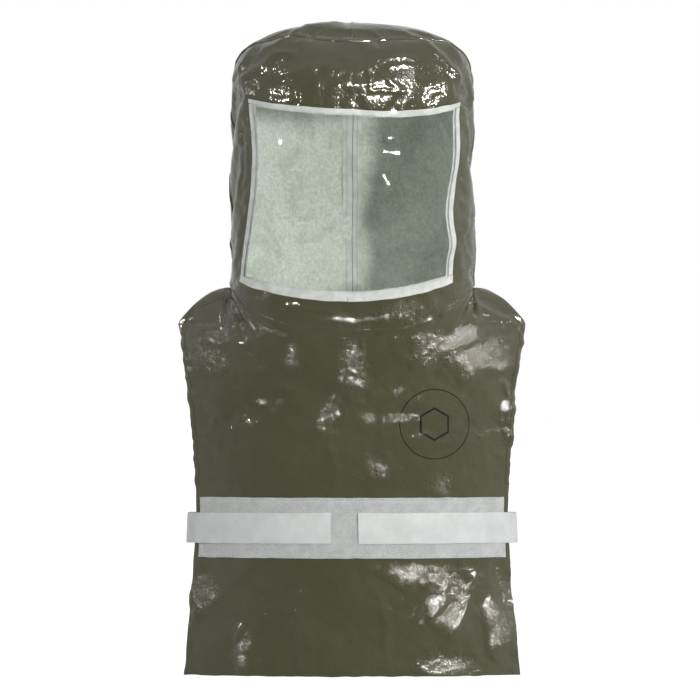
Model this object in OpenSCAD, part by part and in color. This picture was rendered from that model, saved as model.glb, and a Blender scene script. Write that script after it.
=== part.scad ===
// Pull-over protective hood: a clear visor, a front and a back bib, and waist straps that
// come round from the back bib and hold on a loop-faced band across the front bib.
// Millimetres. X runs across the front, Y from front to back and Z up; "left" is the -X side.
// The origin is the seat of the wearer's crown, at the inside of the top of the hood.

/* [Hood] */
// Half of the hood's width across the face
hood_half_w = 151; // [146:1:156]
// Depth of the hood in front of the crown, at eye level
hood_front_d = 128; // [118:1:136]
// Depth of the hood behind the crown, at eye level
hood_back_d = 112; // [102:1:120]
// Height of the top of the hood over the hem of the bibs
crown_h = 812; // [800:1:825]

/* [Visor] */
// Half of the visor opening's angle round the face, in degrees
visor_phi = 57; // [55:0.5:58]
// Height of the visor opening's lower edge over the hem, at the middle
visor_low = 469; // [465:1:473]
// Height of the visor opening's upper edge over the hem, at the middle
visor_high = 698; // [694:1:703]

/* [Bib] */
// Half of the bib's width at the shoulder tips
shoulder_half_w = 217; // [210:1:224]
// Half of the bib's width at the waist
waist_half_w = 194; // [188:1:200]
// Depth of the front bib at the middle of the waist
bib_front_d = 102; // [96:1:108]
// Depth of the back bib at the middle of the waist
bib_back_d = 92; // [86:1:98]
// Height over the hem at which each bib's skirt folds
fold_h = 140; // [130:1:142]

/* [Straps] */
// Height of the loop-faced band
band_h = 75; // [60:1:80]
// Height of the lower edge of the band over the hem
band_low = 146; // [144:1:150]
// Width of the hook strap
strap_w = 38; // [30:1:40]
// How far the strap stands out at the side
strap_bulge = 10; // [8:1:12]

/* [Materials] */
// Thickness of the coated fabric
cloth_t = 1.0; // [0.8:0.1:1.2]
// Thickness of the visor sheet
visor_t = 0.8; // [0.6:0.1:1]
// Thickness of the seam and border tapes
tape_t = 0.6; // [0.4:0.1:0.8]
// Clearance between layers that lie on each other
layer_gap = 0.3; // [0.2:0.05:0.4]

/* [Hidden] */
// Hood: the dome starts at dome_low; the wide profile is blunt and the deep one is round.
dome_low = 690;
dome_h = crown_h - dome_low;
dome_wide_power = 5.2;
dome_deep_power = 2.2;
front_power = 2.7;
back_power = 2.3;
front_belly_h = 590;
back_belly_h = 640;
front_taper = 14;
back_taper = 22;
taper_front_span = 165;
taper_back_span = 190;
visor_low_sag = 22;
visor_high_sag = 13;
visor_tilt = 6;
visor_tilt_end = 75;

// The seam between the face panel and the back panels arches over the crown
seam_middle_h = 788;
seam_rise = 22;
seam_fall = 70;
cap_low_h = 797;

// Neck seam, as heights over the hem
neck_side_h = 482;
neck_front_drop = 60;
neck_back_drop = 27;
neck_gap = 2.4;

// Bib
shoulder_drop = 45;
shoulder_curve = 2.1;
shoulder_tip_h = neck_side_h - shoulder_drop;
yoke_h = 380;
yoke_round = 60;
waist_h = 200;
hem_flare = 15;
section_power = 2.3;
arm_low_h = 300;
arm_open = 42;
arm_swell = 6;
chest_swell = 6;
ridge_gap = 0.5;

// Bands, hems and straps, as shares of the bib's half width
band_end = 0.97;
hem_in = 0.93;
anchor_end = 0.62;
left_tip = -0.134;
right_tip = 0.04;
pad_left_end = -0.48;
pad_right_end = 0.37;
stitch_in = 0.95;
strap_low = band_low + (band_h - strap_w) / 2 - 0.5;
strap_high = strap_low + strap_w;
band_high = band_low + band_h;
elastic_low_h = 236;
strap_t = 1.0;
hook_t = 0.7;
band_t = 0.9;
elastic_t = 0.8;
thread_t = 0.5;
hook_clearance = 0.5;
ridge_t = 0.9;
neck_welt_t = 1.2;
hinge_play = 1.3;
fold_slit = 1.0;

// Offsets of the layers from the middle of the cloth
half_t = cloth_t / 2;
outer = half_t + layer_gap;
inner = -half_t - layer_gap;
band_out = outer + band_t;
hook_in = band_out + hook_clearance;
tab_in = hook_in + hook_t + layer_gap / 2;
tab_mid = tab_in + strap_t / 2;
anchor_mid = outer + strap_t / 2;
visor_in = inner - visor_t;
hem_out = inner - elastic_t - layer_gap;

seat_h = crown_h - half_t;

OLIVE = [0.31, 0.31, 0.24];
WHITE = [0.93, 0.94, 0.92];
CLEAR = [0.72, 0.78, 0.76, 0.45];
LOOP_GREY = [0.80, 0.81, 0.84];
THREAD = [0.86, 0.86, 0.84];

// ---- Small helpers ----
function lerp(a, b, t) = a + (b - a) * t;
function unit(v) = v / max(norm(v), 1e-9);
function steps(a, b, n) = [for (i = [1:n]) lerp(a, b, i / n)];
function within(list, low, high) = [for (x = list) if (x > low - 1e-6 && x < high + 1e-6) x];
function flipped(list) = [for (i = [len(list) - 1:-1:0]) -list[i]];

// ---- Hood surface: phi is the angle from the front in degrees. v rises from 0 at the neck to
// 1 and 2 at the visor opening's lower and upper edges, 2.5 at the crown seam and 3 at the top ----
function dome_share(z) = max(0, (z - dome_low) / dome_h);
function hood_width(z) = hood_half_w * sqrt(max(0, 1 - pow(dome_share(z), dome_wide_power)));
function round_over(z) = sqrt(max(0, 1 - pow(dome_share(z), dome_deep_power)));
function front_depth(z) =
  (hood_front_d - front_taper * pow((min(z, dome_low) - front_belly_h) / taper_front_span, 2)) * round_over(z);
function back_depth(z) =
  (hood_back_d - back_taper * pow((min(z, dome_low) - back_belly_h) / taper_back_span, 2)) * round_over(z);

function ring_radius(phi, z) =
  let (
    a = hood_width(z),
    b = cos(phi) > 0 ? front_depth(z) : back_depth(z),
    n = cos(phi) > 0 ? front_power : back_power
  )
  a < 0.05 ? 0 : 1 / pow(pow(abs(sin(phi)) / a, n) + pow(abs(cos(phi)) / b, n), 1 / n);

function ring_share(phi) = ring_radius(phi, neck_side_h) * abs(sin(phi)) / hood_half_w;
function neck_h(phi) =
  neck_side_h - (cos(phi) > 0 ? neck_front_drop : neck_back_drop) * (1 - pow(ring_share(phi), 4));
function visor_bow(phi) = pow(min(abs(phi), 60) / visor_phi, 2);
function low_h(phi) = visor_low + visor_low_sag * visor_bow(phi);
function high_h(phi) =
  visor_high + visor_high_sag * visor_bow(phi)
  - visor_tilt * sin(180 * min(max(phi, 0), visor_tilt_end) / visor_tilt_end);
function seam_h(phi) =
  let (t = min(abs(phi), 90) / 90) seam_middle_h + seam_rise * pow(t, 2) - seam_fall * pow(t, 6);
function cap_h(v) =
  let (share = sqrt(1 - pow(dome_share(cap_low_h), dome_wide_power)) * (3 - v) / 0.3)
  dome_low + dome_h * pow(1 - share * share, 1 / dome_wide_power);
function hood_h(phi, v) =
  v < 1 ? lerp(neck_h(warped(phi, 0)), low_h(phi), v) :
  v < 2 ? lerp(low_h(phi), high_h(phi), v - 1) :
  v < 2.5 ? lerp(high_h(phi), seam_h(phi), (v - 2) / 0.5) :
  v < 2.7 ? lerp(seam_h(phi), cap_low_h, (v - 2.5) / 0.2) : cap_h(min(v, 3));

// The visor's side edges wander: both lean in, the left one above half height and the right one
// below it
function smooth(t) = let (c = min(max(t, 0), 1)) c * c * (3 - 2 * c);
function bell(t, middle) = exp(-pow((t - middle) / 0.07, 2));
function left_turn(t) = 5.2 * pow(1 - t, 2.5) - 5.5 * sin(180 * pow(t, 1.35)) - 1.6 * pow(t, 8);
function right_turn(t) =
  lerp(-4.2, 0.6, smooth((t - 0.44) / 0.32)) + 1.9 * bell(t, 0.21) - bell(t, 0.4) + 0.8 * pow(t, 8);
function edge_turn(phi, v) =
  let (t = min(max(v - 1, 0), 1)) phi < 0 ? left_turn(t) : right_turn(t);
function warped(phi, v) =
  let (a = abs(phi), share = a < visor_phi ? a / visor_phi : max(0, (90 - a) / (90 - visor_phi)))
  phi + sign(phi) * share * edge_turn(phi, v);
function hood_at(phi, v) =
  let (z = hood_h(phi, v), turned = warped(phi, v), r = v > 2.9999 ? 0 : ring_radius(turned, z))
  [r * sin(turned), -r * cos(turned), z];
function hood_normal(phi, v) =
  v > 2.999 ? [0, 0, 1] :
  let (e = 0.004, d = 0.3)
  unit(cross(hood_at(phi + d, v) - hood_at(phi - d, v), hood_at(phi, v + e) - hood_at(phi, max(0, v - e))));

// ---- Bib surface: p runs from -1 to 1 across; v is 0 at the neck and shoulder, 1 at the
// yoke line and 2 at the hem; side is -1 for the front and 1 for the back ----
function v_at(z) = 1 + (yoke_h - z) / yoke_h;
function side_half_w(z) =
  z > waist_h
    ? lerp(waist_half_w, shoulder_half_w, pow((min(z, shoulder_tip_h) - waist_h) / (shoulder_tip_h - waist_h), 2))
    : waist_half_w + hem_flare * pow((waist_h - z) / waist_h, 1.3);
function side_depth(z) =
  z > shoulder_tip_h ? 0 :
  z > arm_low_h ? arm_open * sqrt(1 - pow((z - arm_low_h) / (shoulder_tip_h - arm_low_h), 2)) :
  arm_open - arm_swell * (1 - cos(180 * (arm_low_h - z) / 150));
function middle_depth(side, z) = (side < 0 ? bib_front_d : bib_back_d) + chest_swell * pow((z - 150) / 250, 2);
function drape_depth(side, p, z) =
  side_depth(z) + (middle_depth(side, z) - side_depth(z)) * (1 - pow(abs(p), section_power));

function edge_share(x) = min(1, abs(x) / hood_half_w);
function edge_h(side, x) =
  abs(x) < hood_half_w
    ? neck_side_h - neck_gap - (side < 0 ? neck_front_drop : neck_back_drop) * (1 - pow(edge_share(x), 4))
    : neck_side_h - neck_gap
      - shoulder_drop * pow((abs(x) - hood_half_w) / (shoulder_half_w - hood_half_w), shoulder_curve);
function edge_depth(side, x) =
  let (
    n = side < 0 ? front_power : back_power,
    b = side < 0 ? front_depth(edge_h(side, x)) : back_depth(edge_h(side, x))
  )
  max(ridge_gap, b * pow(1 - pow(edge_share(x), n), 1 / n));

function bib_at(side, p, v) =
  let (
    top = edge_h(side, p * shoulder_half_w),
    z = v < 1 ? lerp(top, yoke_h, v) : lerp(yoke_h, 0, v - 1),
    k = 1 - pow(1 - min(1, (top - z) / yoke_round), 2),
    depth = lerp(edge_depth(side, p * shoulder_half_w), drape_depth(side, p, z), k)
  )
  [p * side_half_w(z), side * max(ridge_gap, depth), z];
function bib_normal(side, p, v) =
  let (e = 0.004, across = bib_at(side, min(1, p + e), v) - bib_at(side, max(-1, p - e), v),
       down = bib_at(side, p, min(2, v + e)) - bib_at(side, p, max(0, v - e)))
  side * unit(cross(across, down));

// ---- Grids: each entry is a point and the outward normal there ----
// Turns and rows where parts of the hood end. Each tape and welt runs between two of these.
window_turn = visor_phi + 4;
tape_out_turn = visor_phi + 1.2;
tape_in_turn = visor_phi - 1.2;
inner_tape_turn = visor_phi - 2.2;
window_low = 0.78;
tape_low = 0.89;
tape_low_in = 1.021;
inner_tape_low = 1.03;
inner_tape_high = 1.98;
tape_high_in = 1.989;
tape_high = 2.016;
window_high = 2.058;
welt_turn = 0.8;
seam_tape_turn = 4;
neck_band = 0.2;
crown_tape_low = 2.44;
crown_welt_low = 2.488;
crown_welt_high = 2.512;
crown_tape_high = 2.56;

turns_right = concat(
  [0], steps(0, 50, 6), [inner_tape_turn, tape_in_turn, visor_phi, tape_out_turn, window_turn],
  steps(window_turn, 90 - seam_tape_turn, 3), [90 - welt_turn, 90, 90 + welt_turn, 90 + seam_tape_turn],
  steps(90 + seam_tape_turn, 180, 7)
);
hood_turns = concat([for (i = [len(turns_right) - 1:-1:1]) -turns_right[i]], turns_right);
hood_rows = [
  0, neck_band, 0.45, window_low, tape_low, 1, tape_low_in, inner_tape_low, 1.12, 1.21, 1.3, 1.4, 1.5, 1.6, 1.72, 1.86,
  inner_tape_high, tape_high_in, 2, tape_high, window_high, 2.18, 2.32, crown_tape_low, crown_welt_low,
  2.5, crown_welt_high, crown_tape_high, 2.62, 2.7, 2.78, 2.86, 2.93, 3
];
bib_columns = [-1, -0.985, -0.97, -0.95, -0.93, -0.86, -0.8, -0.74, -0.7, -0.68, -0.65, -0.62, -0.58, -0.54,
               -0.48, -0.36, -0.25, -0.134, -0.05, 0.04, 0.134, 0.25, 0.37, 0.48, 0.54, 0.58, 0.62, 0.65,
               0.68, 0.7, 0.74, 0.8, 0.86, 0.93, 0.95, 0.97, 0.985, 1];
bib_heights = [
  300, elastic_low_h, band_high, band_high - 4, strap_high, strap_high - 5, strap_low + 5, strap_low,
  band_low + 4, band_low, fold_h + fold_slit / 2
];
bib_rows = concat([0, 0.05, 0.15, 0.3, 0.5, 0.75, 1], [for (z = bib_heights) v_at(z)]);
skirt_rows = [v_at(fold_h - fold_slit / 2), v_at(70), 2];

function hood_grid(phi_low, phi_high, v_low, v_high) =
  [for (phi = within(hood_turns, phi_low, phi_high))
    [for (v = within(hood_rows, v_low, v_high)) [hood_at(phi, v), hood_normal(phi, v)]]];
function bib_grid(side, p_low, p_high, rows) =
  [for (p = within(bib_columns, p_low, p_high)) [for (v = rows) [bib_at(side, p, v), bib_normal(side, p, v)]]];
function rows_between(z_high, z_low) = within(bib_rows, v_at(z_high), v_at(z_low));

// ---- One sheet between two offsets from a grid. Cells in hole = [i0, i1, j0, j1] are left
// out. turn is -1 for a grid whose order gives an inward cross product. The first crossed rows of
// cells are split along their other diagonal, for rows that run against those they lie on ----
module sheet(grid, low, high, turn = 1, hole = [0, 0, 0, 0], crossed = 0) {
  nu = len(grid);
  nv = len(grid[0]);
  points = concat(
    [for (column = grid) for (g = column) g[0] + high * g[1]],
    [for (column = grid) for (g = column) g[0] + low * g[1]]
  );
  in_hole = function(i, j) i >= hole[0] && i < hole[1] && j >= hole[2] && j < hole[3];
  there = function(i, j) i >= 0 && j >= 0 && i < nu - 1 && j < nv - 1 && !in_hole(i, j);
  top = function(i, j) i * nv + j;
  under = function(i, j) nu * nv + i * nv + j;
  // The two sides of a cell, then the walls at the edges that have no neighbour
  skins = [for (i = [0:nu - 2]) for (j = [0:nv - 2]) if (there(i, j)) each j < crossed ? concat(
    wall(top(i + 1, j), top(i, j), top(i, j + 1), top(i + 1, j + 1)),
    wall(under(i, j + 1), under(i, j), under(i + 1, j), under(i + 1, j + 1))
  ) : concat(
    wall(top(i, j), top(i, j + 1), top(i + 1, j + 1), top(i + 1, j)),
    wall(under(i, j), under(i + 1, j), under(i + 1, j + 1), under(i, j + 1))
  )];
  walls = [for (i = [0:nu - 1]) for (j = [0:nv - 1]) each concat(
    there(i, j) && !there(i, j - 1) ? wall(top(i, j), top(i + 1, j), under(i + 1, j), under(i, j)) : [],
    there(i, j - 1) && !there(i, j) ? wall(top(i + 1, j), top(i, j), under(i, j), under(i + 1, j)) : [],
    there(i, j) && !there(i - 1, j) ? wall(top(i, j + 1), top(i, j), under(i, j), under(i, j + 1)) : [],
    there(i - 1, j) && !there(i, j) ? wall(top(i, j), top(i, j + 1), under(i, j + 1), under(i, j)) : []
  )];
  whole = [for (f = concat(skins, walls))
    if (norm(points[f[0]] - points[f[1]]) > 1e-5 && norm(points[f[1]] - points[f[2]]) > 1e-5
        && norm(points[f[2]] - points[f[0]]) > 1e-5)
      turn > 0 ? f : [f[0], f[2], f[1]]];
  polyhedron(points = points, faces = whole);
}
function wall(a, b, c, d) = [[a, b, c], [a, c, d]];

module on_crown() translate([0, 0, -seat_h]) children();

// ---- Hood: a face panel with the visor opening, and two back panels that reach over the crown ----
function turn_count(low, high) = len(within(hood_turns, low, high)) - 1;
function row_count(low, high) = len(within(hood_rows, low, high)) - 1;

module hood_front_panel() {
  first = turn_count(-90, -visor_phi);
  opening = [first, first + turn_count(-visor_phi, visor_phi), row_count(0, 1), row_count(0, 2)];
  color(OLIVE) sheet(hood_grid(-90, 90, 0, 2.5), -half_t, half_t, 1, opening);
}
module hood_back_left_panel() {
  face = [turn_count(-180, -90), turn_count(-180, 0), 0, row_count(0, 2.5)];
  color(OLIVE) sheet(hood_grid(-180, 0, 0, 3), -half_t, half_t, 1, face);
}
module hood_back_right_panel() {
  face = [0, turn_count(0, 90), 0, row_count(0, 2.5)];
  color(OLIVE) sheet(hood_grid(0, 180, 0, 3), -half_t, half_t, 1, face);
}

module hood_strip(phi_low, phi_high, v_low, v_high, low, high)
  sheet(hood_grid(phi_low, phi_high, v_low, v_high), low, high);
module welt(phi_low, phi_high, v_low, v_high)
  color(OLIVE) hood_strip(phi_low, phi_high, v_low, v_high, outer, outer + ridge_t);
module seam_tape(phi_low, phi_high, v_low, v_high)
  color(WHITE) hood_strip(phi_low, phi_high, v_low, v_high, inner - tape_t, inner);

module crown_seam_welt() welt(-90 - welt_turn, 90 + welt_turn, crown_welt_low, crown_welt_high);
module side_seam_welt_left() welt(-90 - welt_turn, -90 + welt_turn, neck_band, crown_welt_low);
module side_seam_welt_right() welt(90 - welt_turn, 90 + welt_turn, neck_band, crown_welt_low);
module crown_seam_tape() seam_tape(-90 - seam_tape_turn, 90 + seam_tape_turn, crown_tape_low, crown_tape_high);
module side_seam_tape_left() seam_tape(-90 - seam_tape_turn, -90 + seam_tape_turn, neck_band, crown_tape_low);
module side_seam_tape_right() seam_tape(90 - seam_tape_turn, 90 + seam_tape_turn, neck_band, crown_tape_low);

// A strip along the back seam: from the crown seam across the top and down to the neck
function back_seam_grid(v_front, half_width) = [for (x = [-half_width, half_width]) concat(
  [for (v = within(hood_rows, v_front, 3)) [hood_at(0, v) + [x, 0, 0], hood_normal(0, v)]],
  [for (v = flipped(within(hood_rows, neck_band, 2.99))) [hood_at(180, -v) + [x, 0, 0], hood_normal(180, -v)]]
)];
module back_seam_ridge() color(OLIVE)
  sheet(back_seam_grid(crown_welt_high, 1.6), outer, outer + ridge_t);
module back_seam_tape() color(WHITE)
  sheet(back_seam_grid(crown_tape_high, 12), inner - 0.4 - tape_t, inner - 0.4);

// ---- Visor ----
module visor_window() color(CLEAR)
  hood_strip(-window_turn, window_turn, window_low, window_high, visor_in, inner);
module border_tape(phi_low, phi_high, v_low, v_high)
  color(WHITE) hood_strip(phi_low, phi_high, v_low, v_high, outer, outer + tape_t);
module visor_tape_top() border_tape(-tape_out_turn, tape_out_turn, tape_high_in, tape_high);
module visor_tape_bottom_left() border_tape(-tape_out_turn, 0, tape_low, tape_low_in);
module visor_tape_bottom_right() {
  grid = hood_grid(0, tape_out_turn, tape_low, tape_low_in);
  color(WHITE) sheet([for (i = [0:len(grid) - 1]) i == 0 ? moved(grid[0], [layer_gap, 0, 0]) : grid[i]],
                     outer, outer + tape_t);
}
function moved(column, by) = [for (g = column) [g[0] + by, g[1]]];
// The side tapes end a little inside the top and bottom ones
function between_tapes(column) = [for (j = [0:len(column) - 1])
  j == 0 ? [lerp(column[0][0], column[1][0], 0.1), column[0][1]] :
  j == len(column) - 1 ? [lerp(column[j][0], column[j - 1][0], 0.1), column[j][1]] : column[j]];
module side_tape(phi_low, phi_high) {
  grid = hood_grid(phi_low, phi_high, tape_low_in, tape_high_in);
  color(WHITE) sheet([for (column = grid) between_tapes(column)], outer, outer + tape_t);
}
module visor_tape_left() side_tape(-tape_out_turn, -tape_in_turn);
module visor_tape_right() side_tape(tape_in_turn, tape_out_turn);
module visor_inner_tape() {
  first = turn_count(-window_turn, -inner_tape_turn);
  opening = [first, first + turn_count(-inner_tape_turn, inner_tape_turn),
             row_count(window_low, inner_tape_low), row_count(window_low, inner_tape_high)];
  grid = hood_grid(-window_turn, window_turn, window_low, window_high);
  color(WHITE) sheet(grid, visor_in - layer_gap - tape_t, visor_in - layer_gap, 1, opening);
}

// ---- Neck ----
module neck_welt_front() color(OLIVE) hood_strip(-90, 90, 0, neck_band, outer, outer + neck_welt_t);
module neck_welt_back() color(OLIVE) {
  hood_strip(90, 180, 0, neck_band, outer, outer + neck_welt_t);
  hood_strip(-180, -90, 0, neck_band, outer, outer + neck_welt_t);
}
module neck_tape_front() color(WHITE) hood_strip(-90, 90, 0, neck_band, inner - tape_t, inner);
module neck_tape_back() color(WHITE) {
  hood_strip(90, 180, 0, neck_band, inner - tape_t, inner);
  hood_strip(-180, -90, 0, neck_band, inner - tape_t, inner);
}

// ---- Bibs ----
module bib_sheet(side, rows) color(OLIVE) sheet(bib_grid(side, -1, 1, rows), -half_t, half_t, side);
module bib_front_panel() bib_sheet(-1, bib_rows);
module bib_back_panel() bib_sheet(1, bib_rows);
module bib_front_skirt() bib_sheet(-1, skirt_rows);
module bib_back_skirt() bib_sheet(1, skirt_rows);

// A welt over the shoulder, from the front bib across the ridge to the back bib
module shoulder_welt(p_low, p_high) {
  up = [0.15, 0.05, 0];
  down = [0, 0.05, 0.15];
  grid = [for (p = within(bib_columns, p_low, p_high)) concat(
    [for (v = up) [bib_at(-1, p, v), bib_normal(-1, p, v)]],
    [for (v = down) [bib_at(1, p, v), bib_normal(1, p, v)]]
  )];
  color(OLIVE) sheet(grid, outer, outer + ridge_t, crossed = len(up) - 1);
}
module shoulder_welt_left() shoulder_welt(-0.985, -0.74);
module shoulder_welt_right() shoulder_welt(0.74, 0.985);

// Arm openings: an elastic inside the edge of each bib, and the hem turned in over it
arm_rows = within(bib_rows, 0.3, v_at(elastic_low_h));
module arm_layer(side, p_low, p_high, low, high)
  sheet(bib_grid(side, p_low, p_high, arm_rows), low, high, side);
module arm_elastic(p_low, p_high) for (side = [-1, 1]) color(WHITE)
  arm_layer(side, p_low, p_high, inner - elastic_t, inner);
module arm_elastic_left() arm_elastic(-0.985, -0.95);
module arm_elastic_right() arm_elastic(0.95, 0.985);
module arm_hem(side, p_low, p_high) color(OLIVE)
  arm_layer(side, p_low, p_high, hem_out - cloth_t, hem_out);
module arm_hem_front_left() arm_hem(-1, -1, -hem_in);
module arm_hem_front_right() arm_hem(-1, hem_in, 1);
module arm_hem_back_left() arm_hem(1, -1, -hem_in);
module arm_hem_back_right() arm_hem(1, hem_in, 1);

// ---- Band ----
module loop_band() color(LOOP_GREY)
  sheet(bib_grid(-1, -band_end, band_end, rows_between(band_high, band_low)), outer, band_out, -1);
module band_stitching() {
  grid = bib_grid(-1, -stitch_in, stitch_in, rows_between(band_high, band_low));
  top_rows = [for (column = grid) thread_row(column[0], column[1])];
  low_rows = [for (column = grid) thread_row(column[len(column) - 1], column[len(column) - 2])];
  for (rows = [top_rows, [for (r = low_rows) [r[1], r[0]]]])
    color(THREAD) sheet(rows, band_out, band_out + thread_t, -1);
}
// A thread's width, from just inside an edge row
function thread_row(edge, next) =
  [for (share = [0.5, 0.72]) [lerp(edge[0], next[0], share) + layer_gap * edge[1], edge[1]]];

// ---- Straps. The anchor is sewn to the back bib, the wrap goes round the side and the tab
// lies on the band, with a hook pad under its end ----
strap_rows = rows_between(strap_high, strap_low);
strap_mid_h = (strap_high + strap_low) / 2;

module tab(side, p_low, p_high) {
  grid = bib_grid(-1, p_low, p_high, strap_rows);
  edge = side < 0 ? 0 : len(grid) - 1;
  color(WHITE) sheet(inset_edge(grid, edge), tab_in, tab_in + strap_t, -1);
}
// The grid with the points of one edge column moved in, to leave play at the hinge
function inset_edge(grid, edge) = let (next = edge == 0 ? 1 : edge - 1)
  [for (i = [0:len(grid) - 1]) i != edge ? grid[i] :
    [for (j = [0:len(grid[i]) - 1])
      [grid[i][j][0] + hinge_play * unit(grid[next][j][0] - grid[i][j][0]), grid[i][j][1]]]];
module strap_left_tab() tab(-1, -1, left_tip);
module strap_right_tab() tab(1, right_tip, 1);
module hook_pad(p_low, p_high) color(WHITE)
  sheet(bib_grid(-1, p_low, p_high, strap_rows), hook_in, hook_in + hook_t, -1);
module hook_pad_left() hook_pad(pad_left_end, left_tip);
module hook_pad_right() hook_pad(right_tip, pad_right_end);

// The two fold lines of a strap, seen from above
function fold_point(bib_side, strap_side, offset) =
  let (v = v_at(strap_mid_h), q = bib_at(bib_side, strap_side, v) + offset * bib_normal(bib_side, strap_side, v))
  [q[0], q[1]];
module wrap(strap_side) {
  front = fold_point(-1, strap_side, tab_mid);
  back = fold_point(1, strap_side, anchor_mid);
  chord = norm(back - front);
  radius = (pow(chord / 2, 2) + pow(strap_bulge, 2)) / (2 * strap_bulge);
  half_angle = asin(chord / 2 / radius) - hinge_play / radius * 180 / PI;
  tilt = strap_side * atan2(back[0] - front[0], back[1] - front[1]);
  middle = (front + back) / 2 + (strap_bulge - radius) * [strap_side * cos(tilt), -sin(tilt)];
  angles = [for (i = [-6:6]) half_angle * i / 6 - tilt];
  rim = function(r) [for (a = angles) middle + r * [strap_side * cos(a), sin(a)]];
  outer_rim = rim(radius + strap_t / 2);
  inner_rim = rim(radius - strap_t / 2);
  color(WHITE) translate([0, 0, strap_low]) linear_extrude(strap_w)
    polygon(concat(outer_rim, [for (i = [len(inner_rim) - 1:-1:0]) inner_rim[i]]));
}
module strap_left_wrap() wrap(-1);
module strap_right_wrap() wrap(1);
module anchor(side, p_low, p_high) {
  grid = bib_grid(1, p_low, p_high, strap_rows);
  color(WHITE) sheet(inset_edge(grid, side < 0 ? 0 : len(grid) - 1), outer, outer + strap_t, 1);
}
module strap_left_anchor() anchor(-1, -1, -anchor_end);
module strap_right_anchor() anchor(1, anchor_end, 1);
module anchor_stitching(p_low, p_high) {
  grid = bib_grid(1, p_low, p_high, strap_rows);
  last = len(strap_rows) - 1;
  color(THREAD) for (rows = [[0, 1], [last, last - 1]]) {
    threads = [for (column = grid) thread_row(column[rows[0]], column[rows[1]])];
    ordered = rows[0] == 0 ? threads : [for (r = threads) [r[1], r[0]]];
    sheet(ordered, outer + strap_t, outer + strap_t + thread_t, 1);
  }
}
module anchor_stitching_left() anchor_stitching(-0.86, -0.65);
module anchor_stitching_right() anchor_stitching(0.65, 0.86);

on_crown() hood_front_panel();
on_crown() hood_back_left_panel();
on_crown() hood_back_right_panel();
on_crown() crown_seam_welt();
on_crown() side_seam_welt_left();
on_crown() side_seam_welt_right();
on_crown() back_seam_ridge();
on_crown() crown_seam_tape();
on_crown() side_seam_tape_left();
on_crown() side_seam_tape_right();
on_crown() back_seam_tape();
on_crown() visor_window();
on_crown() visor_tape_top();
on_crown() visor_tape_bottom_left();
on_crown() visor_tape_bottom_right();
on_crown() visor_tape_left();
on_crown() visor_tape_right();
on_crown() visor_inner_tape();
on_crown() neck_welt_front();
on_crown() neck_welt_back();
on_crown() neck_tape_front();
on_crown() neck_tape_back();
on_crown() bib_front_panel();
on_crown() bib_back_panel();
on_crown() bib_front_skirt();
on_crown() bib_back_skirt();
on_crown() shoulder_welt_left();
on_crown() shoulder_welt_right();
on_crown() arm_elastic_left();
on_crown() arm_elastic_right();
on_crown() arm_hem_front_left();
on_crown() arm_hem_front_right();
on_crown() arm_hem_back_left();
on_crown() arm_hem_back_right();
on_crown() loop_band();
on_crown() band_stitching();
on_crown() strap_left_anchor();
on_crown() strap_left_wrap();
on_crown() strap_left_tab();
on_crown() hook_pad_left();
on_crown() strap_right_anchor();
on_crown() strap_right_wrap();
on_crown() strap_right_tab();
on_crown() hook_pad_right();
on_crown() anchor_stitching_left();
on_crown() anchor_stitching_right();
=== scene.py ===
"""Looks of a pull-over protective hood: crinkled coated fabric, a clear visor, tapes, a band and straps."""
import math

import bpy
import numpy as np
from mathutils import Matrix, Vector


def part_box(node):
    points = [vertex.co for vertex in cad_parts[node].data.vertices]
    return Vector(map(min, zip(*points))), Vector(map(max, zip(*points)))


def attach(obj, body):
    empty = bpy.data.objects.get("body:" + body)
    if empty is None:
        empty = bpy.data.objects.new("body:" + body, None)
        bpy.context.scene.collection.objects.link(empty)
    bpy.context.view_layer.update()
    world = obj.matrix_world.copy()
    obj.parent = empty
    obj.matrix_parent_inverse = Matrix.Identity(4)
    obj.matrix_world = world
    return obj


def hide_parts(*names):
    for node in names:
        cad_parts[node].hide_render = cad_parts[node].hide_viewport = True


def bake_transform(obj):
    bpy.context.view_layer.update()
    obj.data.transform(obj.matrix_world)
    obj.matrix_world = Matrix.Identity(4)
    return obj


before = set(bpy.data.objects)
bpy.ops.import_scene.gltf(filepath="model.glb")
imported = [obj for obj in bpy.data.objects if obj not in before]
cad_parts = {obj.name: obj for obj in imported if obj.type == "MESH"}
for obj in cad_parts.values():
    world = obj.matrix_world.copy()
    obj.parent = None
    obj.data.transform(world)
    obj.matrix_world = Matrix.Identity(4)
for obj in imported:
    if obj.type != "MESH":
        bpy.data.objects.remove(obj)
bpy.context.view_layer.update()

# ==== The shape, in millimetres: heights up from the hem, X across, Y to the back ====
MM = 0.001
HEM_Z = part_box("bib_front_skirt")[0].z / MM
CROWN_H = 812.0
HOOD_HALF_W = 151.0
HOOD_FRONT_D = 128.0
HOOD_BACK_D = 112.0
DOME_LOW = 690.0
DOME_H = CROWN_H - DOME_LOW
WIDE_POWER = 5.2
DEEP_POWER = 2.2
FRONT_POWER = 2.7
BACK_POWER = 2.3
NECK_SIDE_H = 482.0
NECK_FRONT_DROP = 60.0
NECK_BACK_DROP = 27.0
VISOR_PHI = 57.0
VISOR_LOW = 469.0
VISOR_HIGH = 698.0
CAP_LOW_H = 797.0
SEAM_V = 2.5
TOP_V = 3
VISOR_TALL = 230
CLOTH_PER_DEGREE = 2.55

SHOULDER_HALF_W = 217.0
WAIST_HALF_W = 194.0
SHOULDER_TIP_H = 437.0
WAIST_H = 200.0
YOKE_H = 380.0
ARM_LOW_H = 300.0
ELASTIC_LOW_H = 236.0
BAND_LOW = 146.0
BAND_HIGH = 221.0
STRAP_LOW = 164.0
STRAP_HIGH = 202.0
SIDE_DEPTH = {-1: 102.0, 1: 92.0}

SIDES = ((-1, "left"), (1, "right"))

CLOTH_T = 0.6
OUTER = 0.45


def lerp(a, b, t):
    return a + (b - a) * t


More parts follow.
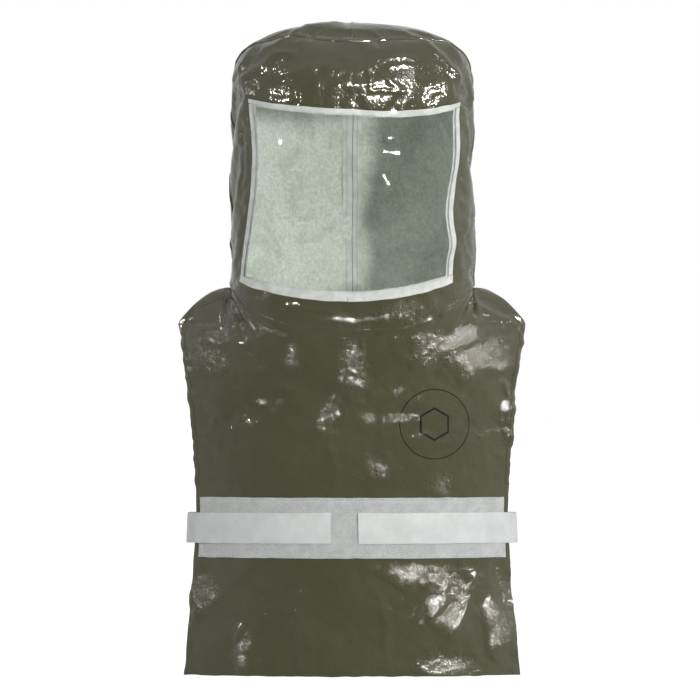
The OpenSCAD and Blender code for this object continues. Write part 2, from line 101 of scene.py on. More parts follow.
def ramp(value, start, end):
    """0 before start, 1 after end, smooth between."""
    t = np.clip((value - start) / (end - start), 0, 1)
    return t * t * (3 - 2 * t)


def unit(vectors):
    return vectors / np.maximum(np.linalg.norm(vectors, axis=-1, keepdims=True), 1e-9)


# ---- Hood: phi in degrees from the front; v is 0 at the neck, 1 and 2 at the visor opening's
# lower and upper edges, 2.5 at the crown seam and 3 at the top ----
def dome_share(z):
    return np.clip((z - DOME_LOW) / DOME_H, 0, 1)


def hood_width(z):
    return HOOD_HALF_W * np.sqrt(np.clip(1 - dome_share(z) ** WIDE_POWER, 0, 1))


def hood_depth(z, front):
    low = np.minimum(z, DOME_LOW)
    ahead = HOOD_FRONT_D - 14 * ((low - 590) / 165) ** 2
    behind = HOOD_BACK_D - 22 * ((low - 640) / 190) ** 2
    return np.where(front, ahead, behind) * np.sqrt(np.clip(1 - dome_share(z) ** DEEP_POWER, 0, 1))


def ring_point(phi, z):
    s, c = np.sin(np.radians(phi)), np.cos(np.radians(phi))
    power = np.where(c > 0, FRONT_POWER, BACK_POWER)
    wide = np.maximum(hood_width(z), 1e-3)
    deep = np.maximum(hood_depth(z, c > 0), 1e-3)
    radius = ((np.abs(s) / wide) ** power + (np.abs(c) / deep) ** power) ** (-1 / power)
    return np.stack([radius * s, -radius * c, z], axis=-1)


def neck_h(phi):
    share = np.abs(ring_point(phi, np.full_like(phi, NECK_SIDE_H))[..., 0]) / HOOD_HALF_W
    drop = np.where(np.cos(np.radians(phi)) > 0, NECK_FRONT_DROP, NECK_BACK_DROP)
    return NECK_SIDE_H - drop * (1 - share**4)


def hood_h(phi, v):
    bow = (np.minimum(np.abs(phi), 60) / VISOR_PHI) ** 2
    tilt = np.sin(np.pi * np.clip(phi, 0, 75) / 75)
    low, high = VISOR_LOW + 22 * bow, VISOR_HIGH + 13 * bow - 6 * tilt
    turn = np.minimum(np.abs(phi), 90) / 90
    seam = 788 + 22 * turn**2 - 70 * turn**6
    cap_share = np.sqrt(1 - dome_share(CAP_LOW_H) ** WIDE_POWER) * np.clip(TOP_V - v, 0, 0.3) / 0.3
    cap = DOME_LOW + DOME_H * (1 - cap_share**2) ** (1 / WIDE_POWER)
    return np.select(
        [v < 1, v < 2, v < SEAM_V, v < 2.7],
        [lerp(neck_h(warped(phi, 0.0)), low, v), lerp(low, high, v - 1), lerp(high, seam, (v - 2) / 0.5),
         lerp(seam, CAP_LOW_H, (v - SEAM_V) / 0.2)], cap)


def bell(t, middle):
    return np.exp(-((t - middle) / 0.07) ** 2)


def warped(phi, v):
    """The visor's side edges wander: both lean in, the left one above half height and the right
    one below it."""
    t = np.clip(v - 1, 0, 1)
    left = 5.2 * (1 - t) ** 2.5 - 5.5 * np.sin(np.pi * t**1.35) - 1.6 * t**8
    right = lerp(-4.2, 0.6, ramp(t, 0.44, 0.76)) + 1.9 * bell(t, 0.21) - bell(t, 0.4) + 0.8 * t**8
    a = np.abs(phi)
    share = np.where(a < VISOR_PHI, a / VISOR_PHI, np.clip((90 - a) / (90 - VISOR_PHI), 0, 1))
    return phi + np.sign(phi) * share * np.where(phi < 0, left, right)


def hood_base(phi, v):
    points = ring_point(warped(phi, v), hood_h(phi, v))
    points[..., :2] *= np.clip((TOP_V - v) / 1e-4, 0, 1)[..., None]
    return points


# ---- Bibs: p from -1 to 1 across, z up from the hem; side is -1 in front and 1 behind ----
def side_half_w(z):
    high = (np.clip(z, WAIST_H, SHOULDER_TIP_H) - WAIST_H) / (SHOULDER_TIP_H - WAIST_H)
    low = np.clip((WAIST_H - z) / WAIST_H, 0, 1)
    return WAIST_HALF_W + (SHOULDER_HALF_W - WAIST_HALF_W) * high**2 + 15 * low**1.3


def side_depth(z):
    arch = 42 * np.sqrt(np.clip(1 - ((z - ARM_LOW_H) / (SHOULDER_TIP_H - ARM_LOW_H)) ** 2, 0, 1))
    drape = 42 - 6 * (1 - np.cos(np.pi * (ARM_LOW_H - z) / 150))
    return np.where(z > ARM_LOW_H, arch, drape)


def bib_top(side, x):
    """Height and depth of the bib's upper edge: the neck seam, then the shoulder."""
    share = np.minimum(1, np.abs(x) / HOOD_HALF_W)
    beyond = np.clip((np.abs(x) - HOOD_HALF_W) / (SHOULDER_HALF_W - HOOD_HALF_W), 0, 1)
    drop = NECK_FRONT_DROP if side < 0 else NECK_BACK_DROP
    power = FRONT_POWER if side < 0 else BACK_POWER
    height = NECK_SIDE_H - 0.4 - drop * (1 - share**4) - 45 * beyond**2.1
    depth = hood_depth(height, side < 0) * np.clip(1 - share**power, 0, 1) ** (1 / power)
    return height, np.maximum(depth, 0.4)


def bib_base(side, p, v):
    """v is 0 at the upper edge, 1 at the yoke line and 2 at the hem."""
    top, top_depth = bib_top(side, p * SHOULDER_HALF_W)
    z = np.where(v < 1, lerp(top, YOKE_H, v), lerp(YOKE_H, 0, v - 1))
    middle = SIDE_DEPTH[side] + 6 * ((z - 150) / 250) ** 2
    drape = side_depth(z) + (middle - side_depth(z)) * (1 - np.abs(p) ** 2.3)
    out = 1 - (1 - np.clip((top - z) / 60, 0, 1)) ** 2
    depth = np.maximum(0.4, lerp(top_depth, drape, out))
    return np.stack([p * side_half_w(z), side * depth, z], axis=-1)


def row_at(z):
    """The bib's v at a height below the yoke line."""
    return 1 + (YOKE_H - z) / YOKE_H


# ==== Crumples and folds, as distances along the outward normal ====
def hashed(cells, salt):
    """Three even numbers from -1 to 1 for each whole-number cell, always the same ones."""
    key = cells.astype(np.int64).view(np.uint64)
    mixed = np.uint64(0)
    for k, multiplier in enumerate((73856093, 19349663, 83492791)):
        mixed = mixed ^ key[..., k] * np.uint64(multiplier)
    values = []
    for k in range(3):
        m = (mixed + np.uint64(salt * 977 + k * 2654435761)) & np.uint64(0xFFFFFFFF)
        for multiplier in (0x7FEB352D, 0x846CA68B):
            m = ((m ^ (m >> np.uint64(16))) * np.uint64(multiplier)) & np.uint64(0xFFFFFFFF)
        values.append((m ^ (m >> np.uint64(15))).astype(float) / 2**31 - 1)
    return np.stack(values, axis=-1)


def noise(points, size, salt):
    """Smooth noise from about -1 to 1, whose hills are about size apart."""
    scaled = points / size
    cells = np.floor(scaled)
    inside = scaled - cells
    fade = inside**3 * (inside * (6 * inside - 15) + 10)
    total = 0.0
    for corner in np.ndindex(2, 2, 2):
        corner = np.array(corner)
        slope = (hashed(cells + corner, salt) * (inside - corner)).sum(-1)
        total = total + slope * np.prod(np.where(corner, fade, 1 - fade), axis=-1)
    return 1.5 * total


def crumple(points, salt):
    """Crushed film: smooth facets between sharp creases, from the broad ones down to the fine."""
    drift = np.stack([noise(points, 55.0, salt + k) for k in range(3)], axis=-1) * 14.0
    moved = points + drift
    broad = 0.4 - np.abs(noise(moved, 52.0, salt + 3))
    middle = np.abs(noise(moved, 24.0, salt + 4)) - 0.3
    fine = 0.3 - np.abs(noise(moved, 11.0, salt + 5))
    return 2.4 * broad + 1.15 * middle + 0.42 * fine


def crinkle(points, salt):
    """The fine sparkle of a crushed spot."""
    small = 0.3 - np.abs(noise(points, 9.5, salt + 6))
    tiny = np.abs(noise(points, 5.2, salt + 7)) - 0.3
    return 1.5 * small + 0.7 * tiny


def patch(x, z, middle_x, middle_z, reach_x, reach_z):
    """1 in the middle of a crushed spot, 0 beyond its reach."""
    d = ((x - middle_x) / reach_x) ** 2 + ((z - middle_z) / reach_z) ** 2
    return np.clip(1 - d, 0, 1)


def crease(x, z, route, height, width):
    """A sharp ridge along a route of (x, z) points, lower towards the route's ends."""
    nearest = np.full(np.shape(x), 1e9)
    share = np.zeros(np.shape(x))
    lengths = [math.dist(a, b) for a, b in zip(route, route[1:])]
    done = 0.0
    for (ax, az), (bx, bz), length in zip(route, route[1:], lengths):
        t = np.clip(((x - ax) * (bx - ax) + (z - az) * (bz - az)) / length**2, 0, 1)
        d = np.hypot(x - lerp(ax, bx, t), z - lerp(az, bz, t))
        share = np.where(d < nearest, (done + t * length) / sum(lengths), share)
        nearest = np.minimum(nearest, d)
        done += length
    fall = np.clip(1 - nearest / (0.8 * width), 0, 1)
    return 1.2 * height * fall**1.15 * np.clip(4 * share * (1 - share), 0, 1) ** 0.5


# Crushed spots, as (x, height, reach across, reach up, strength), and creases, as (route,
# height, width): first the hood's front, then the front bib, then the two at the back
HOOD_PATCHES = [
    (46, 742, 40, 24, 0.75), (-4, 731, 14, 10, 0.9), (66, 756, 24, 10, 0.8), (-120, 765, 42, 36, 0.2),
    (128, 756, 40, 40, 0.25), (140, 560, 22, 50, 1.0), (146, 508, 18, 28, 1.3), (145, 672, 16, 50, 0.6),
    (-138, 655, 16, 80, 0.5), (-128, 474, 40, 22, 1.1), (140, 474, 34, 24, 1.2), (72, 452, 44, 14, 1.1),
    (0, 437, 120, 14, 0.7)]
HOOD_CREASES = [
    ([(-149, 739), (-137, 758), (-116, 785)], 2.5, 9),
    ([(-116, 769), (-55, 802), (-40, 806), (-8, 810)], 3.6, 12),
    ([(-142, 739), (-111, 753), (-94, 770), (-68, 769)], 3.0, 10),
    ([(-87, 775), (-62, 787), (-53, 796)], 2.0, 8),
    ([(91, 792), (93, 781), (116, 759), (132, 741), (150, 715)], 3.0, 10),
    ([(108, 793), (119, 784), (133, 768), (137, 760)], 2.0, 8), ([(147, 756), (152, 730)], 1.5, 7),
    ([(-137, 692), (-135, 640), (-137, 588)], -2.2, 6), ([(143, 706), (146, 672), (143, 640)], 1.6, 7),
    ([(20, 756), (24, 724), (62, 722), (20, 756)], 1.6, 5), ([(38, 764), (60, 766), (82, 763)], 1.4, 5),
    ([(42, 752), (62, 755), (80, 752)], 1.4, 5), ([(-90, 741), (-40, 752), (10, 749)], 1.3, 12),
    ([(-139, 735), (-131, 716), (-128, 700)], 1.6, 8),
    ([(139, 590), (141, 562), (138, 538)], 1.8, 7), ([(-30, 727), (20, 731), (60, 741)], 1.0, 12),
    ([(-70, 444), (0, 437), (75, 446)], 1.4, 8), ([(-110, 470), (-60, 455), (-20, 450)], 1.2, 8)]
BIB_PATCHES = [
    (2, 385, 24, 50, 1.2), (-32, 315, 18, 30, 1.0), (-71, 396, 10, 34, 1.1), (96, 408, 34, 34, 1.2),
    (158, 404, 52, 42, 1.2), (197, 330, 14, 62, 1.0), (-185, 398, 40, 32, 0.9), (-186, 104, 26, 42, 1.1),
    (120, 95, 36, 52, 1.2), (92, 130, 62, 20, 1.0), (184, 85, 22, 64, 1.3), (115, 14, 50, 20, 1.2),
    (-137, 30, 10, 38, 1.1), (32, 258, 18, 28, 0.6), (113, 232, 12, 24, 0.6), (-100, 436, 36, 22, 0.8),
    (10, 424, 90, 11, 0.5)]
BIB_CREASES = [
    ([(-146, 476), (-128, 455), (-109, 439), (-93, 429)], -3.2, 7),
    ([(-150, 470), (-140, 440), (-133, 410)], -3.0, 7),
    ([(-148, 474), (-134, 450), (-120, 424)], 3.0, 6), ([(-144, 476), (-118, 456), (-96, 446)], 3.0, 6),
    ([(-152, 472), (-160, 446), (-158, 424)], -2.6, 6), ([(148, 474), (132, 452), (110, 440)], 3.0, 6),
    ([(152, 470), (158, 446), (150, 420)], 2.6, 6), ([(146, 476), (120, 458), (96, 448)], -3.0, 7),
    ([(156, 479), (141, 468), (129, 466)], 3.0, 8),
    ([(150, 466), (170, 448), (190, 441), (209, 430)], 3.0, 11),
    ([(150, 476), (146, 452), (131, 428)], -3.0, 9), ([(-71, 430), (-70, 405), (-72, 379)], 2.2, 6),
    ([(4, 422), (-5, 385), (-22, 340), (-34, 304)], 2.0, 9), ([(10, 428), (14, 400), (2, 372)], 2.2, 7),
    ([(188, 371), (196, 340), (190, 309)], 2.4, 8), ([(112, 400), (150, 417), (200, 424)], 2.0, 10),
    ([(120, 441), (160, 432), (204, 441)], 1.8, 8), ([(-140, 66), (-142, 36), (-137, 4)], 2.0, 9),
    ([(86, 60), (112, 92), (121, 140)], 2.0, 9), ([(118, 44), (140, 80), (153, 128)], 1.8, 8),
    ([(-203, 104), (-192, 86), (-195, 66)], 2.0, 8), ([(-205, 425), (-170, 412), (-120, 414)], 2.0, 10),
    ([(30, 110), (44, 60), (40, 6)], 1.4, 12), ([(-60, 118), (-72, 60), (-66, 4)], 1.4, 12),
    ([(-30, 290), (-18, 258), (-24, 228)], 1.2, 10), ([(70, 360), (40, 330), (34, 290)], 1.2, 11)]
BACK_PATCHES = [
    (0, 440, 130, 30, 0.8), (-150, 410, 60, 40, 1.0), (140, 420, 60, 40, 0.9), (60, 250, 60, 70, 0.5),
    (-90, 180, 60, 80, 0.6), (110, 70, 70, 60, 0.8), (-130, 60, 60, 60, 0.6)]
BACK_CREASES = [
    ([(-130, 470), (-70, 430), (-20, 330)], 2.4, 11), ([(120, 466), (80, 410), (60, 320)], 2.2, 11),
    ([(-170, 430), (-130, 400), (-110, 330)], 2.2, 10), ([(10, 300), (30, 220), (20, 140)], 1.8, 12),
    ([(-100, 250), (-80, 170), (-95, 60)], 2.0, 11), ([(130, 260), (110, 170), (128, 90)], 2.0, 11)]


def marked(points, patches, creases, lean=0.0):
    """(extra crumple strength, raised creases) at points of one face. Crushed spots lean back at
    the top and to the right by about this slope."""
    x, z = points[..., 0], points[..., 2]
    stray_x, stray_z = noise(points, 38.0, 7), noise(points, 38.0, 8)
    strength, leaning = 0.0, 0.0
    for middle_x, middle_z, reach_x, reach_z, gain in patches:
        spot = gain * patch(x + 14 * stray_x, z + 14 * stray_z, middle_x, middle_z, reach_x, reach_z)
        strength = strength + spot
        leaning = leaning - lean * spot * ((z - middle_z) + 0.45 * (x - middle_x))
    x, z = x + 2.2 * noise(points, 17.0, 9), z + 2.2 * noise(points, 17.0, 10)
    raised = sum((crease(x, z, route, height, width) for route, height, width in creases), 0.0)
    return np.clip(strength, 0, 1.5), raised + leaning


# ==== Cloth simulation: how the slack cloth settles on its coarse grid ====
SETTLE_FRAMES = 24
HOOD_SALT = 20
HOOD_SLACK = 0.009
BIB_SLACK = 0.0015
MOST_MOVE = 6.5
FILM_STIFFNESS = dict(quality=6, mass=0.2, air_damping=3, tension_stiffness=40, compression_stiffness=40,
                      shear_stiffness=25, bending_stiffness=6)


def grid_faces(columns, rows, closed=False):
    """Four-sided faces of a grid whose points run down each column. Closed joins last and first."""
    i, j = np.meshgrid(np.arange(columns - (not closed)), np.arange(rows - 1), indexing="ij")
    here, beside = i * rows + j, (i + 1) % columns * rows + j
    return np.stack([here, beside, beside + 1, here + 1], axis=-1).reshape(-1, 4)


def placed(name, data):
    """A new object in the scene."""
    made = bpy.data.objects.new(name, data)
    bpy.context.scene.collection.objects.link(made)
    return made


def to_metres(points):
    return (np.reshape(points, (-1, 3)) + (0, 0, HEM_Z)) * MM


def settled(points, faces, pins, slack, weight, salt):
    """How far each point of a slack sheet moves when it buckles and hangs. Pins run from 0 to 1."""
    start = points + noise(points[..., None, :] + np.arange(3)[:, None] * 91.0, 17.0, salt) * 0.7
    mesh = bpy.data.meshes.new("settling")
    mesh.from_pydata(to_metres(start).tolist(), [], faces.tolist())
    sheet = placed("settling", mesh)
    group = sheet.vertex_groups.new(name="pins")
    levels = np.round(pins.ravel(), 2)
    for level in np.unique(levels):
        group.add(np.nonzero(levels == level)[0].tolist(), float(level), "REPLACE")
    cloth = sheet.modifiers.new("cloth", "CLOTH")
    for key, value in FILM_STIFFNESS.items():
        setattr(cloth.settings, key, value)
    cloth.settings.vertex_group_mass = "pins"
    cloth.settings.shrink_min = -slack
    cloth.settings.effector_weights.gravity = weight
    cloth.collision_settings.use_collision = False
    cloth.point_cache.frame_start = 1
    cloth.point_cache.frame_end = SETTLE_FRAMES
    for moment in range(1, SETTLE_FRAMES + 1):
        bpy.context.scene.frame_set(moment)
    result = sheet.evaluated_get(bpy.context.evaluated_depsgraph_get()).to_mesh()
    found = np.empty(len(result.vertices) * 3, np.float32)
    result.vertices.foreach_get("co", found)
    bpy.data.objects.remove(sheet)
    bpy.data.meshes.remove(mesh)
    bpy.context.scene.frame_set(1)
    moved = found.reshape(points.shape) / MM - (0, 0, HEM_Z) - points
    far = np.linalg.norm(moved, axis=-1, keepdims=True)
    return moved * np.minimum(1, MOST_MOVE / np.maximum(far, 1e-6)) * np.clip(far / 0.5, 0, 1)


def sampled(field, columns, rows, u, v):
    """A field on a grid of columns and rows, read smoothly at any (u, v)."""
    def stretch(values, at, count):
        place = np.interp(at, values, np.arange(count))
        first = np.clip(np.floor(place).astype(int), 0, count - 2)
        t = place - first
        weights = [-t + 2 * t**2 - t**3, 2 - 5 * t**2 + 3 * t**3, t + 4 * t**2 - 3 * t**3, t**3 - t**2]
        around = first + np.arange(-1, 3)[(...,) + (None,) * t.ndim]
        return np.clip(around, 0, count - 1), np.stack(weights) / 2
    i, wi = stretch(columns, u, len(columns))
    j, wj = stretch(rows, v, len(rows))
    return sum((wi[a] * wj[b])[..., None] * field[i[a], j[b]] for a in range(4) for b in range(4))


# ---- The hood ----
def stretches(start, *legs):
    """Values from start on, each leg an (end, count) of even values that includes both its ends."""
    values = [np.array([float(start)])]
    for end, count in legs:
        values.append(np.linspace(start, end, count)[1:])
        start = end
    return np.concatenate(values)


HOOD_SIM_TURNS = stretches(-180, (-90, 36), (-VISOR_PHI, 13), (VISOR_PHI, 45), (90, 13), (180, 36))
HOOD_SIM_ROWS = stretches(0, (1, 8), (2, 39), (SEAM_V, 13), (2.75, 11))


def settle_hood():
    phi, v = np.meshgrid(HOOD_SIM_TURNS, HOOD_SIM_ROWS, indexing="ij")
    points = hood_base(phi, v)
    opening = (np.abs(phi) < VISOR_PHI - 0.1) & (v > 1.01) & (v < 1.99)
    rim = (np.abs(phi) < VISOR_PHI + 4) & (v > 0.9) & (v < 2.03)
    pins = np.full(phi.shape, 0.07)
    pins = np.where(np.abs(v - SEAM_V) < 0.01, 0.3, pins)
    pins = np.where(np.abs(np.abs(phi) - 90) < 1.5, 0.15, pins)
    pins = np.where((v < 0.01) | (v > 2.74) | rim, 1.0, pins)
    cells = grid_faces(*phi.shape)
    in_opening = opening.ravel()[cells].any(axis=1)
    return settled(points, cells[~in_opening], pins, HOOD_SLACK, 0.2, 11)


HOOD_MOVES = settle_hood()


def outward(surface, u, v, du, dv, sign):
    across = surface(u + du, v) - surface(u - du, v)
    along = surface(u, v + dv) - surface(u, v - dv)
    return unit(sign * np.cross(across, along))


def visor_edge_gap(phi, v):
    """Distance from the visor opening's edge, in mm, over the cloth round it."""
    beside = np.maximum(np.abs(phi) - VISOR_PHI, 0) * CLOTH_PER_DEGREE
    below = np.maximum(1 - v, 0) * np.where(np.abs(phi) < 90, 45, 20)
    above = np.maximum(v - 2, 0) * 180
    return np.hypot(beside, np.maximum(below, above))


def hood_normal(phi, v):
    v = np.minimum(v, 2.97)
    return outward(hood_base, phi, v, 0.4, 0.006, 1.0)


def hood_crush(phi, v):
    points = hood_base(phi, v)
    ahead = ramp(-points[..., 1], -10, 15)
    return marked(points, HOOD_PATCHES, [])[0] * ahead * lerp(1.0, 0.3, ramp(points[..., 2], 700, 720))


def hood_rise(phi, v, points):
    """How far the crushed cloth stands off the hood's smooth shape."""
    spots, raised = marked(points, HOOD_PATCHES, HOOD_CREASES)
    ahead = ramp(-points[..., 1], -10, 15)
    sharper = lerp(1.0, 1.25, ramp(points[..., 2], 700, 740))
    strength = 0.35 + 0.55 * spots * ahead + 1.0 * ramp(np.abs(phi), 80, 130)
    calm = ramp(visor_edge_gap(phi, v), 3, 13) * ramp(v, 0.0, 0.4)
    fine = 0.7 * spots * crinkle(points, HOOD_SALT) + sharper * raised
    return calm * (strength * crumple(points, HOOD_SALT) + fine * ahead)


def hood(phi, v):
    """The crushed hood surface, midway through the cloth."""
    points = hood_base(phi, v)
    fade = np.clip((TOP_V - v) / 0.25, 0, 1)[..., None]
    moves = sampled(HOOD_MOVES, HOOD_SIM_TURNS, HOOD_SIM_ROWS, phi, np.minimum(v, 2.75)) * fade
    way = hood_normal(phi, v)
    swell = (moves * way).sum(-1)
    rise = hood_rise(phi, v, points) + np.minimum(swell, 0.4 * swell + 0.4) - swell
    return points + moves + way * rise[..., None]


# ---- The bibs ----
BIB_SIM_COLUMNS = np.linspace(-1, 1, 73)
BIB_SIM_ROWS = stretches(0, (1, 11), (2, 64))
BIB_SALT = {-1: 31, 1: 47}


def settle_bib(side):
    p, v = np.meshgrid(BIB_SIM_COLUMNS, BIB_SIM_ROWS, indexing="ij")
    points = bib_base(side, p, v)
    z = points[..., 2]
    off_band = np.maximum(z - BAND_HIGH, BAND_LOW - z)
    pins = np.where(np.abs(p) > 0.97, 0.15, 0.05)
    pins = np.maximum(pins, ramp(off_band, 110, 4) * (1.0 if side < 0 else 0.1))
    pins = np.where(v < 0.01, 1.0, pins)
    return settled(points, grid_faces(*p.shape), pins, BIB_SLACK, 0.08, BIB_SALT[side])


BIB_MOVES = {side: settle_bib(side) for side in (-1, 1)}


def frill(side, p, points):
    """The gathered edge of an arm opening ripples over its elastic."""
    z = points[..., 2]
    reach = ramp(np.abs(p), 0.86, 1.0) * ramp(z, ELASTIC_LOW_H - 30, ELASTIC_LOW_H + 30)
    reach = reach * ramp(z, SHOULDER_TIP_H + 8, SHOULDER_TIP_H - 18)
    side_key = np.stack([np.sign(p) * 60 + side * 200, z * 0, z], axis=-1)
    return reach * (2.2 * noise(side_key, 13.0, 71) + 1.2 * noise(side_key, 6.5, 72))


def bib_crush(side, p, v):
    return marked(bib_base(side, p, v), BIB_PATCHES if side < 0 else BACK_PATCHES, [])[0]


def bib_rise(side, p, v, points):
    z = points[..., 2]
    found = (BIB_PATCHES, BIB_CREASES) if side < 0 else (BACK_PATCHES, BACK_CREASES)
    spots, raised = marked(points, *found, lean=0.10)
    under_band = ramp(z, BAND_LOW - 10, BAND_LOW + 4) * ramp(z, BAND_HIGH + 10, BAND_HIGH - 4)
    under_strap = under_band * (1 if side < 0 else ramp(np.abs(p), 0.5, 0.6))
    calm = (1 - 0.85 * under_strap) * ramp(v, 0.0, 0.15)
    salt = BIB_SALT[side] + 5
    strength = 0.28 + 0.9 * spots + 0.4 * ramp(np.abs(p), 0.8, 1.0)
    crushed = strength * crumple(points, salt) + spots * crinkle(points, salt) + raised
    return calm * crushed + frill(side, p, points)


def bib_normal(side, p, v):
    inner_p, inner_v = np.clip(p, -0.995, 0.995), np.clip(v, 0.008, 1.99)
    return outward(lambda a, b: bib_base(side, a, b), inner_p, inner_v, 0.004, 0.006, side)


def bib(side, p, v):
    """The crushed bib surface, midway through the cloth."""
    points = bib_base(side, p, v)
    moves = sampled(BIB_MOVES[side], BIB_SIM_COLUMNS, BIB_SIM_ROWS, p, v)
    moves[..., 1] = np.where(side * moves[..., 1] < -8, -8 * side, moves[..., 1])
    made = points + moves + bib_normal(side, p, v) * bib_rise(side, p, v, points)[..., None]
    gap = 0.5 + 1.5 * ramp(v, 0, 0.2)
    made[..., 1] = side * np.maximum(side * made[..., 1], gap)
    return made


def front_bib(p, v):
    return bib(-1, p, v)


def back_bib(p, v):
    return bib(1, p, v)


# ==== Mesh building ====
SHARP = math.radians(62)


def thick_mesh(points, normals, faces, rise, sink, materials, crush=None):
    """A closed sheet: an outer skin rise along the normals, an inner one sink the other way, and
    walls at the edges. The first material is the outer skin's and the last the inner one's. Crush
    is how crinkled the film is at each point, for its material."""
    points, normals = points.reshape(-1, 3), normals.reshape(-1, 3)
    used, faces = np.unique(faces, return_inverse=True)
    faces = faces.reshape(-1, 4)
    points, normals = points[used], normals[used]
    rise = np.broadcast_to(np.ravel(rise)[used] if np.size(rise) > 1 else rise, len(used))
    corners = points[faces]
    turned = np.cross(corners[:, 1] - corners[:, 0], corners[:, 2] - corners[:, 0])
    turned += np.cross(corners[:, 2] - corners[:, 0], corners[:, 3] - corners[:, 0])
    if (turned * normals[faces[:, 0]]).sum() < 0:
        faces = faces[:, ::-1]
    count = len(used)
    edges = np.concatenate([faces[:, [k, (k + 1) % 4]] for k in range(4)])
    keys = np.sort(edges, axis=1) @ np.array([count, 1])
    _, place, times = np.unique(keys, return_index=True, return_counts=True)
    rim = edges[place[times == 1]]
    walls = np.stack([rim[:, 1], rim[:, 0], rim[:, 0] + count, rim[:, 1] + count], axis=1)
    inner = faces[:, ::-1] + count
    everything = np.concatenate([faces, inner, walls])
    outer_points = points + normals * rise[:, None]
    inner_points = points - normals * sink
    mesh = bpy.data.meshes.new("sheet")
    both = np.concatenate([outer_points, inner_points])
    mesh.from_pydata(to_metres(both).tolist(), [], everything.tolist())
    for material in materials:
        mesh.materials.append(material)
    if len(materials) > 1:
        slots = np.zeros(len(everything), np.int32)
        slots[len(faces):2 * len(faces)] = 1
        mesh.polygons.foreach_set("material_index", slots)
    if crush is not None:
        field = mesh.attributes.new("crush", "FLOAT", "POINT")
        field.data.foreach_set("value", np.tile(np.ravel(crush)[used], 2).astype(np.float32))
    return mesh


def piece(name, *meshes, body="hood_and_bib", slot=None, replaces=()):
    """One object of one or more meshes, smooth but for its edges, riding on a body."""
    made = placed(name, meshes[0])
    for extra in meshes[1:]:
        both = [made, placed(name + "_more", extra)]
        with bpy.context.temp_override(
                active_object=made, selected_editable_objects=both, selected_objects=both):
            bpy.ops.object.join()
    made.data.shade_smooth()
    made.data.set_sharp_from_angle(angle=SHARP)
    made.data.name = name
    if body:
        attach(made, body)
    if replaces:
        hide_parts(*replaces)
    return made


def cloth_piece(cad, *meshes):
    return piece(cad + "_cloth", *meshes, slot="coated_fabric", replaces=[cad])


def tape_piece(cad, *meshes, slot="seam_tape"):
    return piece(cad + "_strip", *meshes, slot=slot, replaces=[cad])


def grid_sheet(points, normals, rise, sink, materials, crush=None):
    return thick_mesh(points, normals, grid_faces(*points.shape[:2]), rise, sink, materials, crush)


def grid_normals(points, like):
    """Normals of a grid of points, on the same side as the vectors in like."""
    found = unit(np.cross(np.gradient(points, axis=0), np.gradient(points, axis=1)))
    return found * np.sign((found * like).sum(-1, keepdims=True))


def even(low, high, step):
    """Values from low to high, about step apart."""
    return np.linspace(low, high, max(2, int(math.ceil(abs(high - low) / step)) + 1))


def layer(surface, us, vs, low, high, materials, normal):
    """A strip on a surface, between two distances from the middle of its cloth."""
    u, v = np.meshgrid(us, vs, indexing="ij")
    points = surface(u, v)
    normals = grid_normals(points, normal(u, v)) if min(u.shape) > 2 else normal(u, v)
    return grid_sheet(points, normals, high, -low, materials)


def hood_layer(turns, rows, low, high, *materials):
    return layer(hood, turns, rows, low, high, materials, hood_normal)


def seam_tape(turns, rows):
    return hood_layer(turns, rows, INNER - TAPE_T, INNER, SEAM_TAPE)


def bib_layer(side, columns, rows, low, high, *materials):
    surface = front_bib if side < 0 else back_bib
    return layer(surface, columns, rows, low, high, materials, lambda p, v: bib_normal(side, p, v))


def rounded(count, others, edge, top, axis):
    """Heights across a strip that rises from edge to a rounded top and falls again."""
    across = np.linspace(-1, 1, count)
    heights = edge + (top - edge) * np.sqrt(np.clip(1 - across**2, 0, 1))
    shape = (count, others) if axis == 0 else (others, count)
    return np.broadcast_to(heights[:, None] if axis == 0 else heights[None, :], shape)


# ---- Stitches: short rounded threads, one after another along a line ----
STITCH = 3.0
STITCH_GAP = 1.3
THREAD_R = 0.32


def stitches(points, normals):
    """Stitches along a line of surface points."""
    travelled = np.concatenate([[0], np.cumsum(np.linalg.norm(np.diff(points, axis=0), axis=1))])
    starts = np.arange(STITCH_GAP, travelled[-1] - STITCH, STITCH + STITCH_GAP)

    def at(distance, field):
        return np.stack([np.interp(distance, travelled, field[:, k]) for k in range(3)], axis=-1)
    around = np.radians(np.arange(0, 360, 60))
    stations = np.array([0.0, 0.12, 0.5, 0.88, 1.0])
    swell = np.array([0.25, 0.9, 1.0, 0.9, 0.25])
    middles = np.stack([at(starts + s * STITCH, points) for s in stations], axis=1)
    ups = unit(at(starts + STITCH / 2, normals))[:, None, None]
    along = unit(middles[:, -1] - middles[:, 0])[:, None, None]
    beside = np.cross(along, ups)
    ring = (np.cos(around)[:, None] * beside + np.sin(around)[:, None] * ups)
    rings = middles[:, :, None] + ring * (swell * THREAD_R)[None, :, None, None] + ups * 0.12
    count, per = len(starts), len(stations) * len(around)
    j, k = np.meshgrid(np.arange(len(stations) - 1), np.arange(len(around)), indexing="ij")
    k2 = (k + 1) % len(around)
    n = len(around)
    one = np.stack([j * n + k, (j + 1) * n + k, (j + 1) * n + k2, j * n + k2], axis=-1).reshape(-1, 4)
    faces = (one[None] + np.arange(count)[:, None, None] * per).reshape(-1, 4).tolist()
    first = np.arange(n)
    caps = [(first + c * per).tolist() for c in range(count)]
    caps += [(first[::-1] + c * per + per - n).tolist() for c in range(count)]
    mesh = bpy.data.meshes.new("stitches")
    mesh.from_pydata(to_metres(rings).tolist(), [], faces + caps)
    mesh.materials.append(THREAD)
    return mesh


